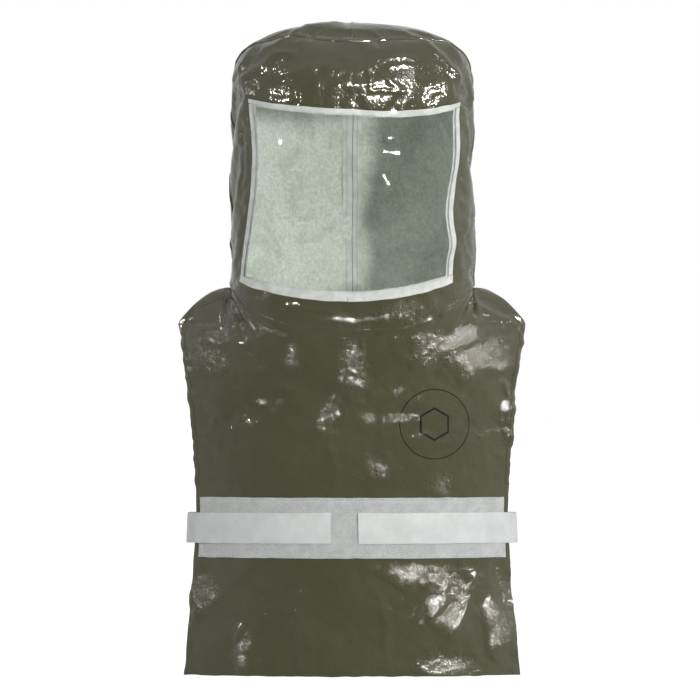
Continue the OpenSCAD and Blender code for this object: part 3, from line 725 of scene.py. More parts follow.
# ==== Materials ====
class Shader:
    """A material's node tree, with short calls for the nodes used here."""

    def __init__(self, name):
        self.material = bpy.data.materials.new(name)
        self.material.use_nodes = True
        self.tree = self.material.node_tree
        self.surface = self.tree.nodes["Principled BSDF"]
        coordinates = self.tree.nodes.new("ShaderNodeTexCoord")
        self.place = coordinates.outputs["Object"]

    def set(self, **values):
        for name, value in values.items():
            self.surface.inputs[name.replace("_", " ")].default_value = value
        return self

    def node(self, kind, links=None, **settings):
        made = self.tree.nodes.new("ShaderNode" + kind)
        for key, value in settings.items():
            if key in made.inputs:
                made.inputs[key].default_value = value
            else:
                setattr(made, key, value)
        for key, source in (links or {}).items():
            self.tree.links.new(source, made.inputs[key])
        return made

    def stretched(self, *scale):
        return self.node("Mapping", {"Vector": self.place}, Scale=scale).outputs["Vector"]

    def folds(self, *noise, **settings):
        """Sharp valleys where a noise crosses its middle."""
        return self.math("ABSOLUTE", self.math("SUBTRACT", self.noise(*noise, **settings), 0.5))

    def tint(self, value, low, high, first, second):
        """Base colour from first at low to second at high."""
        return self.to("Base Color", self.blend(self.between(value, low, high), first, second))

    def noise(self, scale, detail=2.0, roughness=0.5, place=None, **settings):
        return self.node("TexNoise", {"Vector": place or self.place}, Scale=scale, Detail=detail,
                         Roughness=roughness, **settings).outputs["Fac"]

    def cells(self, scale, feature="F1", place=None):
        links = {"Vector": place or self.place}
        return self.node("TexVoronoi", links, feature=feature, Scale=scale).outputs["Distance"]

    def waves(self, scale, direction, distortion=0.0):
        return self.node("TexWave", {"Vector": self.place}, bands_direction=direction, Scale=scale,
                         Distortion=distortion).outputs["Fac"]

    def math(self, operation, a, b=0.0, clamp=False):
        made = self.node("Math", operation=operation, use_clamp=clamp)
        for socket, value in zip(made.inputs, (a, b)):
            if isinstance(value, (int, float)):
                socket.default_value = value
            else:
                self.tree.links.new(value, socket)
        return made.outputs[0]

    def between(self, value, low, high, to_low=0.0, to_high=1.0):
        made = self.node("MapRange", {"Value": value}, interpolation_type="SMOOTHSTEP")
        for key, number in (("From Min", low), ("From Max", high), ("To Min", to_low), ("To Max", to_high)):
            made.inputs[key].default_value = number
        return made.outputs["Result"]

    def blend(self, share, first, second):
        made = self.node("Mix", data_type="RGBA")
        self.tree.links.new(share, made.inputs["Factor"])
        colours = [s for s in made.inputs if s.type == "RGBA"]
        for socket, value in zip(colours, (first, second)):
            if isinstance(value, tuple):
                socket.default_value = (*value, 1)
            else:
                self.tree.links.new(value, socket)
        return [s for s in made.outputs if s.type == "RGBA"][0]

    def bump(self, height, strength, distance, under=None):
        links = {"Height": height}
        if under is not None:
            links["Normal"] = under
        return self.node("Bump", links, Strength=strength, Distance=distance).outputs["Normal"]

    def printed(self, share, colour):
        """A colour laid over the base colour made so far."""
        under = self.surface.inputs["Base Color"].links[0].from_socket
        return self.to("Base Color", self.blend(share, under, colour))

    def to(self, name, socket):
        self.tree.links.new(socket, self.surface.inputs[name])
        return self


def film_material():
    """Olive film on the outside of the cloth: glossy, with the fine crinkle of handled film."""
    s = Shader("olive_film")
    s.set(Specular_IOR_Level=0.4)
    tone = s.noise(22, 3, 0.6)
    s.tint(tone, 0.35, 0.68, (0.078, 0.077, 0.042), (0.087, 0.086, 0.048))
    s.to("Roughness", s.between(s.noise(140, 3, 0.6), 0.3, 0.7, 0.10, 0.16))
    pebble = s.noise(900, 2, 0.5)
    folded = s.folds(230, 2, 0.6, Distortion=0.6)
    leather = s.folds(480, 1, 0.5)
    facets = s.cells(170, "DISTANCE_TO_EDGE", s.stretched(1, 1, 0.8))
    soft = s.noise(75, 3, 0.55)
    under = s.bump(soft, 0.5, 0.0016)
    under = s.bump(s.between(facets, 0.0, 0.25), 0.16, 0.0006, under)
    crush = s.node("Attribute", attribute_name="crush").outputs["Fac"]
    depth = s.math("ADD", s.math("MULTIPLY", crush, 0.95), 0.10)
    under = s.bump(s.math("MULTIPLY", folded, depth), 1.0, 0.0015, under)
    under = s.bump(s.math("MULTIPLY", leather, depth), 1.0, 0.0006, under)
    s.to("Normal", s.bump(pebble, 0.10, 0.0002, under))
    return s


def nonwoven_material():
    """White bonded fibres on the inside of the cloth, darkened in broad blotches of painted wrinkle shade.
    """
    s = Shader("white_nonwoven")
    s.set(Roughness=0.85, Specular_IOR_Level=0.25)
    fibres = s.noise(900, 4, 0.75, s.stretched(1, 1, 0.35))
    blotches = s.noise(260, 3, 0.7)
    mottled = s.math("ADD", s.math("MULTIPLY", fibres, 0.5), s.math("MULTIPLY", blotches, 0.5))
    white = s.blend(s.between(mottled, 0.36, 0.64), (0.60, 0.65, 0.575), (0.86, 0.91, 0.82))
    # Painted shade: broad darker blotches blended into the white stand in for the shade of the lining's
    # wrinkles.
    broad_mottle = s.between(s.noise(17, 4, 0.6, Distortion=0.8), 0.45, 0.62, 0.0, 0.30)
    s.to("Base Color", s.blend(broad_mottle, white, (0.30, 0.33, 0.28)))
    wrinkles = s.folds(24, 3, 0.5, Distortion=0.4)
    s.to("Normal", s.bump(fibres, 0.35, 0.0004, s.bump(wrinkles, 1.0, 0.009)))
    return s


def visor_material():
    """Clear flexible sheet with a faint haze."""
    s = Shader("clear_sheet")
    s.set(Base_Color=(0.46, 0.51, 0.44, 1), Roughness=0.06, IOR=3.5)
    haze = s.noise(30, 2, 0.5)
    s.to("Alpha", s.between(haze, 0.3, 0.7, 0.035, 0.06))
    s.to("Normal", s.bump(s.noise(18, 1.5, 0.5), 0.25, 0.003))
    return s


def tape_material(name, low, high, roughness):
    """Smooth white tape with a faint cross grain."""
    s = Shader(name)
    s.set(Roughness=roughness, Specular_IOR_Level=0.2)
    grain = s.noise(600, 2, 0.6)
    s.tint(s.noise(90, 2, 0.5), 0.35, 0.65, low, high)
    s.to("Normal", s.bump(grain, 0.18, 0.0003))
    return s


def seamed_tape_material():
    """Seam tape over a stitched seam: the stitches show through as a thin dark line, and the
    turned edges under it as two faint ones."""
    s = tape_material("seam_tape_stitched", (0.62, 0.67, 0.63), (0.74, 0.79, 0.75), 0.8)
    x = s.node("SeparateXYZ", {"Vector": s.place}).outputs["X"]
    wander = s.math("MULTIPLY", s.math("SUBTRACT", s.noise(25, 2, 0.5), 0.5), 0.004)
    across = s.math("ADD", x, wander)
    seam = s.between(s.math("ABSOLUTE", s.math("SUBTRACT", across, 0.0009)), 0.0003, 0.0009, 0.7, 0.0)
    edges = s.math("SUBTRACT", s.math("ABSOLUTE", across), 0.0068)
    turned = s.between(s.math("ABSOLUTE", edges), 0.0002, 0.0009, 0.3, 0.0)
    return s.printed(s.math("MAXIMUM", seam, turned), (0.10, 0.12, 0.11))


def loop_material():
    """Loop pile: short curls of thread, packed close."""
    s = Shader("loop_pile")
    s.set(Roughness=0.95, Specular_IOR_Level=0.15, Sheen_Weight=0.35, Sheen_Roughness=0.5)
    curls = s.noise(1000, 3, 0.8)
    tufts = s.cells(820)
    pile = s.math("SUBTRACT", s.math("MULTIPLY", curls, 1.2), s.math("MULTIPLY", tufts, 0.8))
    broad_mottle = s.noise(60, 3, 0.6)
    shade = s.math("ADD", s.math("MULTIPLY", pile, 0.6), s.math("MULTIPLY", broad_mottle, 0.5))
    s.tint(shade, 0.15, 0.65, (0.44, 0.455, 0.445), (0.64, 0.655, 0.645))
    s.to("Normal", s.bump(pile, 0.6, 0.0008))
    return s


def strap_material():
    """Woven white tape: fine ribs across the weave and a slight sheen."""
    s = Shader("strap_weave")
    s.set(Roughness=0.6, Specular_IOR_Level=0.35, Sheen_Weight=0.2)
    ribs = s.waves(330, "Z")
    cross = s.waves(420, "X")
    weave = s.math("MULTIPLY", ribs, cross)
    cloud = s.noise(45, 3, 0.6)
    tone = s.math("ADD", s.math("MULTIPLY", weave, 0.35), s.math("MULTIPLY", cloud, 0.65))
    s.tint(tone, 0.2, 0.7, (0.54, 0.56, 0.55), (0.68, 0.71, 0.70))
    s.to("Normal", s.bump(weave, 0.25, 0.0004))
    return s


def hook_material():
    """Stiff hooks in rows."""
    s = Shader("hook_face")
    s.set(Roughness=0.5, Specular_IOR_Level=0.5)
    hooks = s.cells(700, "SMOOTH_F1")
    s.tint(hooks, 0.1, 0.6, (0.80, 0.80, 0.79), (0.50, 0.50, 0.50))
    s.to("Normal", s.bump(hooks, 0.8, 0.001))
    return s


def elastic_material():
    s = Shader("ribbed_elastic")
    s.set(Roughness=0.8)
    ribs = s.waves(200, "Z", distortion=0.5)
    s.to("Base Color", s.blend(ribs, (0.55, 0.56, 0.55), (0.78, 0.79, 0.78)))
    s.to("Normal", s.bump(ribs, 0.5, 0.0006))
    return s


def thread_material():
    s = Shader("thread")
    s.set(Roughness=0.7, Sheen_Weight=0.2)
    twist = s.waves(500, "DIAGONAL")
    s.to("Base Color", s.blend(twist, (0.55, 0.55, 0.56), (0.72, 0.72, 0.73)))
    s.to("Normal", s.bump(twist, 0.4, 0.0003))
    return s


FILM = film_material().material
NONWOVEN = nonwoven_material().material
CLEAR = visor_material().material
BORDER = tape_material("border_tape", (0.60, 0.62, 0.58), (0.71, 0.73, 0.69), 0.45).material
SEAM_TAPE = tape_material("seam_tape", (0.62, 0.67, 0.63), (0.74, 0.79, 0.75), 0.5).material
SEAMED_TAPE = seamed_tape_material().material
LOOP = loop_material().material
STRAP = strap_material().material
HOOK = hook_material().material
ELASTIC = elastic_material().material
THREAD = thread_material().material


# ==== Pieces: layers lie between distances from the middle of the cloth ====
HALF_T = CLOTH_T / 2
INNER = -OUTER
TAPE_T = 0.5


# ---- Hood panels: columns of cells round the head, and a square grid over the crown ----
CAP_SIDE = 92
CAP_V = 2.7
TURN_COUNT = 4 * CAP_SIDE
HALF_TURNS = stretches(0, (VISOR_PHI, 59), (90, 35), (180, 93))
HOOD_TURNS = np.concatenate([-HALF_TURNS[:0:-1], HALF_TURNS])
HOOD_ROWS = stretches(0, (0.2, 6), (1, 22), (2, 106), (SEAM_V, 56), (CAP_V, 24))


def crown_cap():
    """(phi, v) over the crown: a square grid bent to a disc, whose rim meets the columns."""
    a, b = np.meshgrid(np.linspace(-1, 1, CAP_SIDE + 1), np.linspace(-1, 1, CAP_SIDE + 1), indexing="ij")
    reach = np.maximum(np.abs(a), np.abs(b))
    safe = np.where(reach > 0, reach, 1)
    east, west = (a > 0) & (np.abs(b) <= a), (a < 0) & (np.abs(b) <= -a)
    north = (b > 0) & (np.abs(a) < b)
    turn = np.select([east, west, north], [b / safe, 4 - b / safe, 2 - a / safe], 6 + a / safe) % 8
    turn = np.where(reach > 0, turn, 0) * CAP_SIDE / 2
    return np.interp(turn, np.arange(TURN_COUNT + 1), HOOD_TURNS), TOP_V - (TOP_V - CAP_V) * reach, turn


def hood_mesh_parts():
    turns = HOOD_TURNS[:-1]
    phi, v = np.meshgrid(turns, HOOD_ROWS, indexing="ij")
    rows = len(HOOD_ROWS)
    side_faces = grid_faces(TURN_COUNT, rows, closed=True)
    cap_phi, cap_v, cap_turn = crown_cap()
    inside = cap_v > CAP_V + 1e-9
    numbers = np.where(inside, 0, np.round(cap_turn).astype(int) % TURN_COUNT * rows + rows - 1)
    numbers[inside] = phi.size + np.arange(inside.sum())
    cap_faces = numbers.ravel()[grid_faces(*numbers.shape)]
    all_phi = np.concatenate([phi.ravel(), cap_phi[inside]])
    all_v = np.concatenate([v.ravel(), cap_v[inside]])
    return all_phi, all_v, side_faces, cap_faces


def vertex_normals(points, faces):
    corners = points[faces]
    turned = np.cross(corners[:, 2] - corners[:, 0], corners[:, 3] - corners[:, 1])
    total = np.zeros(points.shape)
    for k in range(4):
        np.add.at(total, faces[:, k], turned)
    return unit(total)


def make_hood():
    phi, v, side_faces, cap_faces = hood_mesh_parts()
    points = hood(phi, v)
    middles = side_faces[:, 0]
    face_phi = phi[middles] + 0.1
    face_v = v[middles]
    ahead = (np.abs(face_phi) < 90) & (face_v < SEAM_V - 1e-6)
    opening = (np.abs(face_phi) < VISOR_PHI) & (face_v > 1 - 1e-6) & (face_v < 2 - 1e-6)
    everything = np.concatenate([side_faces, cap_faces])
    normals = vertex_normals(points, everything)
    if (normals[v < 2] * (points[v < 2] * (1, 1, 0))).sum() < 0:
        normals = -normals
    left = np.concatenate([face_phi < 0, points[cap_faces][..., 0].mean(1) < 0])
    back = np.concatenate([~ahead, np.ones(len(cap_faces), bool)])
    front_faces = side_faces[ahead & ~opening]
    crush = hood_crush(phi, v)
    made = {}
    for name, faces in (("front", front_faces), ("back_left", everything[back & left]),
                        ("back_right", everything[back & ~left])):
        mesh = thick_mesh(points, normals, faces, HALF_T, HALF_T, (FILM, NONWOVEN), crush)
        made[name] = piece(f"hood_{name}_cloth", mesh, slot="coated_fabric", replaces=[f"hood_{name}_panel"])
    return made


def seam_welt(turns, rows, across_turns, top=1.5):
    """A rounded ridge of turned cloth over a seam."""
    across, along, axis = (turns, rows, 0) if across_turns else (rows, turns, 1)
    return hood_layer(turns, rows, OUTER - 0.35, rounded(len(across), len(along), OUTER, top, axis), FILM)


def make_hood_seams():
    cloth_piece("crown_seam_welt", seam_welt(even(-90, 90, 1.2), even(2.489, 2.511, 0.0032), False, 1.7))
    for side, name in SIDES:
        rows = np.concatenate([even(0.2, 1, 0.05)[:-1], even(1, 2, 0.012)[:-1], even(2, 2.489, 0.012)])
        welt = seam_welt(side * 90 + even(-0.8, 0.8, 0.25), rows, True)
        cloth_piece(f"side_seam_welt_{name}", welt)
        rows = np.concatenate([even(0.02, 1, 0.06)[:-1], even(1, 2, 0.0128)[:-1], even(2, 2.455, 0.014)])
        tape_piece(f"side_seam_tape_{name}", seam_tape(side * 90 + even(-4, 4, 1.2), rows))
    tape_piece("crown_seam_tape", seam_tape(even(-94, 94, 1.25), even(2.445, 2.555, 0.014)))


def back_seam_line(v_front, offsets):
    """Points and normals along the back seam, from the crown seam over the top to the neck."""
    front_rows = np.concatenate([even(v_front, 2.7, 0.014), even(2.71, 2.985, 0.012)])
    back_rows = np.concatenate([even(2.985, 2.5, 0.012), even(2.49, 2.0, 0.014), even(1.99, 1, 0.0128),
                                even(0.96, 0.03, 0.06)])
    ahead, behind = np.zeros(len(front_rows)), np.full(len(back_rows), 180.0)
    middle = np.concatenate([hood(ahead, front_rows), hood(behind, back_rows)])
    normal = np.concatenate([hood_normal(ahead, front_rows), hood_normal(behind, back_rows)])
    columns = []
    for x in offsets:
        turn = 0.0 if abs(x) < 1e-6 else x
        front_turn = np.degrees(np.arctan2(turn, -np.minimum(middle[:len(front_rows), 1], -6)))
        back_turn = 180 - np.degrees(np.arctan2(turn, np.maximum(middle[len(front_rows):, 1], 6)))
        columns.append(np.concatenate([hood(front_turn, front_rows), hood(back_turn, back_rows)]))
        columns[-1][:, 0] = x + (columns[-1][:, 0] - x) * 0.2
    return np.stack(columns), np.broadcast_to(normal, (len(offsets), *normal.shape))


def make_back_seam():
    points, normals = back_seam_line(2.512, np.linspace(-1.6, 1.6, 7))
    heights = rounded(7, points.shape[1], OUTER, 1.6, 0)
    cloth_piece("back_seam_ridge", grid_sheet(points, normals, heights, -0.1, (FILM,)))
    points, normals = back_seam_line(2.56, np.linspace(-12, 12, 13))
    outside = INNER - 0.25
    tape_piece("back_seam_tape", grid_sheet(points, normals, outside, TAPE_T - outside, (SEAMED_TAPE,)))


# ---- Visor ----
def film_waves(phi, v, points):
    """The clear sheet's slow waves, none at its taped rim."""
    inset = np.minimum((VISOR_PHI - np.abs(phi)) * CLOTH_PER_DEGREE, np.minimum(v - 1, 2 - v) * VISOR_TALL)
    return ramp(inset, 0, 40) * (2.0 * noise(points, 95.0, 81) + 1.1 * noise(points, 38.0, 82))


def clear_sheet(phi, v):
    points = hood(phi, v)
    return points + hood_normal(phi, v) * film_waves(phi, v, points)[..., None]


WINDOW_TURN = 60.6
WINDOW_LOW = 0.82
WINDOW_HIGH = 2.05
WINDOW_OUT = -0.5
WINDOW_T = 0.5


def make_window():
    turns = even(-WINDOW_TURN, WINDOW_TURN, 1.2)
    rows = np.concatenate([even(WINDOW_LOW, 1, 0.06)[:-1], even(1, 2, 0.02), even(2, WINDOW_HIGH, 0.02)[1:]])
    mesh = layer(clear_sheet, turns, rows, WINDOW_OUT - WINDOW_T, WINDOW_OUT, (CLEAR,), hood_normal)
    piece("visor_sheet", mesh, slot="clear_visor", replaces=["visor_window"])


def border(cad, phi_low, phi_high, v_low, v_high, salt):
    """A hand-laid tape: its edges wander a little."""
    u = even(0, 1, 1.1 / max(phi_high - phi_low, 2.2))
    w = even(0, 1, 0.012 / max(v_high - v_low, 0.024)) if v_high - v_low > 0.2 else np.linspace(0, 1, 6)
    u, w = np.meshgrid(u, w, indexing="ij")
    phi, v = lerp(phi_low, phi_high, u), lerp(v_low, v_high, w)
    along = np.stack([phi * CLOTH_PER_DEGREE, v * VISOR_TALL, np.full(phi.shape, salt * 50.0)], axis=-1)
    wander = noise(along, 34.0, 90 + salt)
    if v_high - v_low < 0.2:
        v = v + 0.0035 * wander * np.where(v < 1, 4, 1)
    else:
        phi = phi + 0.28 * wander
    points = hood(phi, v)
    mesh = grid_sheet(points, hood_normal(phi, v), OUTER + TAPE_T, -OUTER, (BORDER,))
    tape_piece(cad, mesh, slot="border_tape")


def make_visor_tapes():
    border("visor_tape_bottom_left", -58.4, -2.5, 0.885, 1.022, 1)
    border("visor_tape_bottom_right", -2.3, 58.6, 0.885, 1.020, 2)
    border("visor_tape_left", -58.1, -55.9, 1.024, 1.987, 3)
    border("visor_tape_right", 55.7, 58.4, 1.024, 1.987, 4)
    border("visor_tape_top", -58.4, 58.8, 1.989, 2.017, 5)
    turns = np.concatenate([even(-60.4, -54.6, 1.4), even(-53.4, 53.4, 1.2), even(54.6, 60.4, 1.4)])
    rows = np.concatenate([even(0.83, 1.03, 0.05), even(1.05, 1.96, 0.02), even(1.98, 2.045, 0.016)])
    u, v = np.meshgrid(turns, rows, indexing="ij")
    faces = grid_faces(*u.shape)
    middle_u, middle_v = u.ravel()[faces].mean(1), v.ravel()[faces].mean(1)
    hole = (np.abs(middle_u) < 54.6) & (middle_v > 1.03) & (middle_v < 1.98)
    mesh = thick_mesh(hood(u, v), hood_normal(u, v), faces[~hole], WINDOW_OUT - WINDOW_T - 0.15,
                      -(WINDOW_OUT - WINDOW_T - 0.65), (SEAM_TAPE,))
    tape_piece("visor_inner_tape", mesh)


# ---- Neck ----
NECK_EDGE = -0.05
NECK_BAND = 0.17


def neck_welt(phi_low, phi_high):
    turns, rows = even(phi_low, phi_high, 1.2), np.linspace(NECK_EDGE, NECK_BAND, 12)
    across = np.linspace(-1, 1, len(rows))
    heights = OUTER + 0.4 * (1 - np.abs(across) ** 4) ** 0.5
    puckers = 0.35 * noise(hood(*np.meshgrid(turns, rows, indexing="ij")), 7.0, 95)
    heights = np.broadcast_to(heights, (len(turns), len(rows))) + puckers * (1 - across**2)
    return hood_layer(turns, rows, 0.1, heights, FILM)


def make_neck():
    cloth_piece("neck_welt_front", neck_welt(-90, 90))
    cloth_piece("neck_welt_back", neck_welt(90, 180), neck_welt(-180, -90))
    rows = np.linspace(0.0, 0.2, 4)
    tape_piece("neck_tape_front", seam_tape(even(-90, 90, 1.4), rows))
    tape_piece("neck_tape_back", seam_tape(even(90, 180, 1.4), rows), seam_tape(even(-180, -90, 1.4), rows))


# ---- Bibs: each is one cloth from the neck to the hem ----
BIB_COLUMNS = np.linspace(-1, 1, 201)
BIB_ROWS = stretches(0, (1, 36), (2, 182))


def make_bib(side, name, film):
    p, v = np.meshgrid(BIB_COLUMNS, BIB_ROWS, indexing="ij")
    points = bib(side, p, v)
    points[..., 2] += ramp(v, 1.97, 2) * 0.9 * np.abs(noise(points * (1, 0, 0), 26.0, 60 + side))
    normals = grid_normals(points, bib_normal(side, p, v))
    mesh = grid_sheet(points, normals, HALF_T, HALF_T, (film, NONWOVEN), bib_crush(side, p, v))
    cloth = piece(f"bib_{name}_cloth", mesh, body=None, slot="coated_fabric",
                  replaces=[f"bib_{name}_panel", f"bib_{name}_skirt"])
    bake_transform(cloth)
    return cloth


def make_shoulder_welts():
    up, down = np.linspace(0.14, 0.005, 7), np.linspace(0.005, 0.14, 7)
    for sign, name in SIDES:
        p = np.sort(sign * even(0.735, 0.99, 0.007))
        front_p, front_v = np.meshgrid(p, up, indexing="ij")
        back_p, back_v = np.meshgrid(p, down, indexing="ij")
        points = np.concatenate([front_bib(front_p, front_v), back_bib(back_p, back_v)], axis=1)
        normals = np.concatenate([bib_normal(-1, front_p, front_v), bib_normal(1, back_p, back_v)], axis=1)
        for _ in range(3):
            points[:, 1:-1] = (points[:, :-2] + 2 * points[:, 1:-1] + points[:, 2:]) / 4
            normals[:, 1:-1] = unit(normals[:, :-2] + normals[:, 1:-1] + normals[:, 2:])
        heights = rounded(points.shape[1], points.shape[0], OUTER, 1.5, 1)
        cloth_piece(f"shoulder_welt_{name}", grid_sheet(points, normals, heights, -0.1, (FILM,)))


# ---- Arm openings ----
ARM_ROWS = np.concatenate([np.linspace(0.3, 1, 20)[:-1], even(1, row_at(ELASTIC_LOW_H), 0.0075)])
HEM_PATH = [(0.93, -1.25), (0.945, -1.3), (0.96, -1.3), (0.975, -1.3), (0.988, -1.2), (0.997, -0.95),
            (1.002, -0.4), (1.002, 0.15), (0.998, 0.6), (0.990, 0.8), (0.982, 0.78), (0.976, 0.6)]


def rolled_hem(side, sign):
    """The cloth's edge turned in over the elastic and rolled out over itself."""
    shares, offsets = np.array(HEM_PATH).T
    p, v = np.meshgrid(sign * np.minimum(shares, 1), ARM_ROWS, indexing="ij")
    points = bib(side, p, v) + bib_normal(side, p, v) * offsets[:, None, None]
    points[..., 0] += sign * np.maximum(shares - 1, 0)[:, None] * SHOULDER_HALF_W
    normals = unit(np.cross(np.gradient(points, axis=0), np.gradient(points, axis=1)))
    return grid_sheet(points, normals, 0.22, 0.22, (FILM,))


def make_arm_openings():
    for sign, name in SIDES:
        columns = np.sort(sign * np.linspace(0.95, 0.985, 5))
        bands = [bib_layer(side, columns, ARM_ROWS, INNER - 0.5, INNER, ELASTIC) for side in (-1, 1)]
        piece(f"arm_elastic_{name}_band", *bands, slot="elastic", replaces=[f"arm_elastic_{name}"])
        for side, face in ((-1, "front"), (1, "back")):
            cloth_piece(f"arm_hem_{face}_{name}", rolled_hem(side, sign))


# ---- The loop band and its stitching ----
BAND_END = 0.97
BAND_HALF_W = 190
BAND_T = 0.9
BAND_OUT = OUTER + BAND_T
STITCH_INSET = 4.5


def band_heights(columns, rows):
    """The pile is full in the middle and pressed down along the stitching."""
    across = (BAND_END - np.abs(columns))[:, None] * BAND_HALF_W
    up = np.minimum(rows - row_at(BAND_HIGH), row_at(BAND_LOW) - rows)[None, :] * YOKE_H
    inset = np.minimum(across, up)
    pressed = 0.5 * np.exp(-((inset - STITCH_INSET) / 1.2) ** 2) + 0.25 * np.exp(-inset / 0.8)
    return OUTER + BAND_T * (1 - pressed)


def make_band():
    columns = even(-BAND_END, BAND_END, 0.0072)
    rows = row_at(even(BAND_HIGH, BAND_LOW, 1.3))
    mesh = bib_layer(-1, columns, rows, OUTER - 0.1, band_heights(columns, rows), LOOP)
    band = piece("loop_band_pile", mesh, slot="loop_band", replaces=["loop_band"])
    side_p = BAND_END - STITCH_INSET / BAND_HALF_W
    high, low = row_at(BAND_HIGH - STITCH_INSET), row_at(BAND_LOW + STITCH_INSET)
    across, down = even(-side_p, side_p, 0.008), np.linspace(high, low, 30)
    route_p = np.concatenate([across, np.full(30, side_p), across[::-1], np.full(30, -side_p)])
    route_v = np.concatenate([np.full(len(across), high), down, np.full(len(across), low), down[::-1]])
    normals = bib_normal(-1, route_p, route_v)
    points = front_bib(route_p, route_v) + normals * (OUTER + 0.55 * BAND_T)
    thread = piece("band_stitching_thread", stitches(points, normals), slot="thread",
                   replaces=["band_stitching"])
    return band, thread


# ---- Straps: sewn to the back bib, round the side, and on to the band ----
STRAP_T = 1.0
HOOK_T = 0.7
HOOK_IN = BAND_OUT + 0.1
TAB_MID = HOOK_IN + HOOK_T + 0.1 + STRAP_T / 2
ANCHOR_MID = OUTER + STRAP_T / 2
ANCHOR_END = 0.62
SEWN_TO = 0.87
SEWN_IN = 4
STRAP_BULGE = 13.5
TAB_TIPS = {-1: -0.134, 1: 0.04}
PAD_ENDS = {-1: -0.48, 1: 0.37}
STRAP_HEIGHTS = np.linspace(STRAP_HIGH, STRAP_LOW, 20)
MIDDLE_ROW = 10
LOOSE_STEPS = 34


def strap_run(sign):
    """The strap's middle surface, from its sewn end to its free end, as points for each height,
    and how many of them lie before the middle of the loose stretch."""
    rows = row_at(STRAP_HEIGHTS)
    back_p, back_v = np.meshgrid(sign * even(ANCHOR_END, 0.985, 0.01), rows, indexing="ij")
    front_p, front_v = np.meshgrid(np.linspace(sign * 0.985, TAB_TIPS[sign], 90), rows, indexing="ij")
    behind = back_bib(back_p, back_v) + bib_normal(1, back_p, back_v) * ANCHOR_MID
    ahead = front_bib(front_p, front_v) + bib_normal(-1, front_p, front_v) * TAB_MID
    start, end = behind[-1], ahead[0]
    share = np.linspace(0, 1, LOOSE_STEPS)[1:-1, None, None]
    loose = lerp(start, end, share)
    loose[..., 0] += sign * STRAP_BULGE * np.sin(np.pi * share[..., 0]) ** 0.8
    points = np.concatenate([behind, loose, ahead])
    lift = 1.6 * noise(points * (1, 1, 0), 70.0, 140 + sign) + 0.5 * noise(points, 40.0, 142 + sign)
    free = ramp(np.arange(len(points)), len(behind) - 4, len(behind) + 10)[:, None]
    points[..., 2] += lift * free * 0.6
    for _ in range(10):
        points[1:-1] = (points[:-2] + 2 * points[1:-1] + points[2:]) / 4
    return points, len(behind) + LOOSE_STEPS // 2 - 1


def make_strap(sign, name):
    points, split = strap_run(sign)
    normals = unit(np.cross(np.gradient(points, axis=0), np.gradient(points, axis=1)))
    if normals[split, MIDDLE_ROW, 0] * sign < 0:
        normals = -normals
    bow = 0.35 * (np.linspace(-1, 1, len(STRAP_HEIGHTS)) ** 4)

    def part(low, high):
        grid, way = points[low:high] - normals[low:high] * bow[None, :, None], normals[low:high]
        return grid_sheet(grid, way, STRAP_T / 2, STRAP_T / 2, (STRAP,))

    def seam(p, v):
        ways = bib_normal(1, p, v)
        return stitches(back_bib(p, v) + ways * (OUTER + STRAP_T), ways)
    anchor = piece(f"strap_{name}_sewn_part", part(0, split + 1), body=None, slot="strap",
                   replaces=[f"strap_{name}_anchor"])
    tab = piece(f"strap_{name}_free_part", part(split, len(points)), body=None, slot="strap",
                replaces=[f"strap_{name}_wrap", f"strap_{name}_tab"])
    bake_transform(anchor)
    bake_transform(tab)
    ends = sorted((PAD_ENDS[sign], TAB_TIPS[sign] + sign * 0.008))
    rows = row_at(even(STRAP_HIGH - 1.5, STRAP_LOW + 1.5, 2.5))
    pad = bib_layer(-1, even(ends[0], ends[1], 0.01), rows, HOOK_IN, HOOK_IN + HOOK_T, HOOK)
    piece(f"hook_pad_{name}_face", pad, body=f"strap_{name}_tab", slot="hook_pad",
          replaces=[f"hook_pad_{name}"])
    along = sign * even(ANCHOR_END + 0.02, SEWN_TO, 0.01)
    down = row_at(even(STRAP_HIGH - SEWN_IN, STRAP_LOW + SEWN_IN, 2))
    seams = [seam(along, np.full(along.shape, row_at(height)))
             for height in (STRAP_HIGH - SEWN_IN, STRAP_LOW + SEWN_IN)]
    seams += [seam(np.full(down.shape, sign * share), down) for share in (ANCHOR_END + 0.02, SEWN_TO)]
    piece(f"anchor_stitching_{name}_thread", *seams, slot="thread", replaces=[f"anchor_stitching_{name}"])


# ---- The printed mark: a plain ring round a plain hexagon ----
MARK_X = 102.0
MARK_H = 312.0
MARK_R = 43.0
HEXAGON_R = 17.0


def marked_film():
    s = film_material()
    s.material.name = "olive_film_marked"
    apart = s.node("SeparateXYZ", {"Vector": s.place})
    x = s.math("SUBTRACT", apart.outputs["X"], MARK_X * MM)
    z = s.math("SUBTRACT", apart.outputs["Z"], (MARK_H + HEM_Z) * MM)
    far = s.math("SQRT", s.math("ADD", s.math("MULTIPLY", x, x), s.math("MULTIPLY", z, z)))
    wide, high = s.math("ABSOLUTE", x), s.math("ABSOLUTE", z)
    slant = s.math("ADD", s.math("MULTIPLY", wide, 0.5), s.math("MULTIPLY", high, math.sqrt(0.75)))
    hexagon = s.math("MAXIMUM", wide, slant)

    def line(distance, at, half_width):
        off = s.math("ABSOLUTE", s.math("SUBTRACT", distance, at * MM))
        return s.between(off, half_width * MM * 0.6, half_width * MM, 1.0, 0.0)
    ink = s.math("MAXIMUM", line(far, MARK_R, 0.8), line(hexagon, HEXAGON_R, 1.5))
    return s.printed(ink, (0.012, 0.012, 0.011)).material


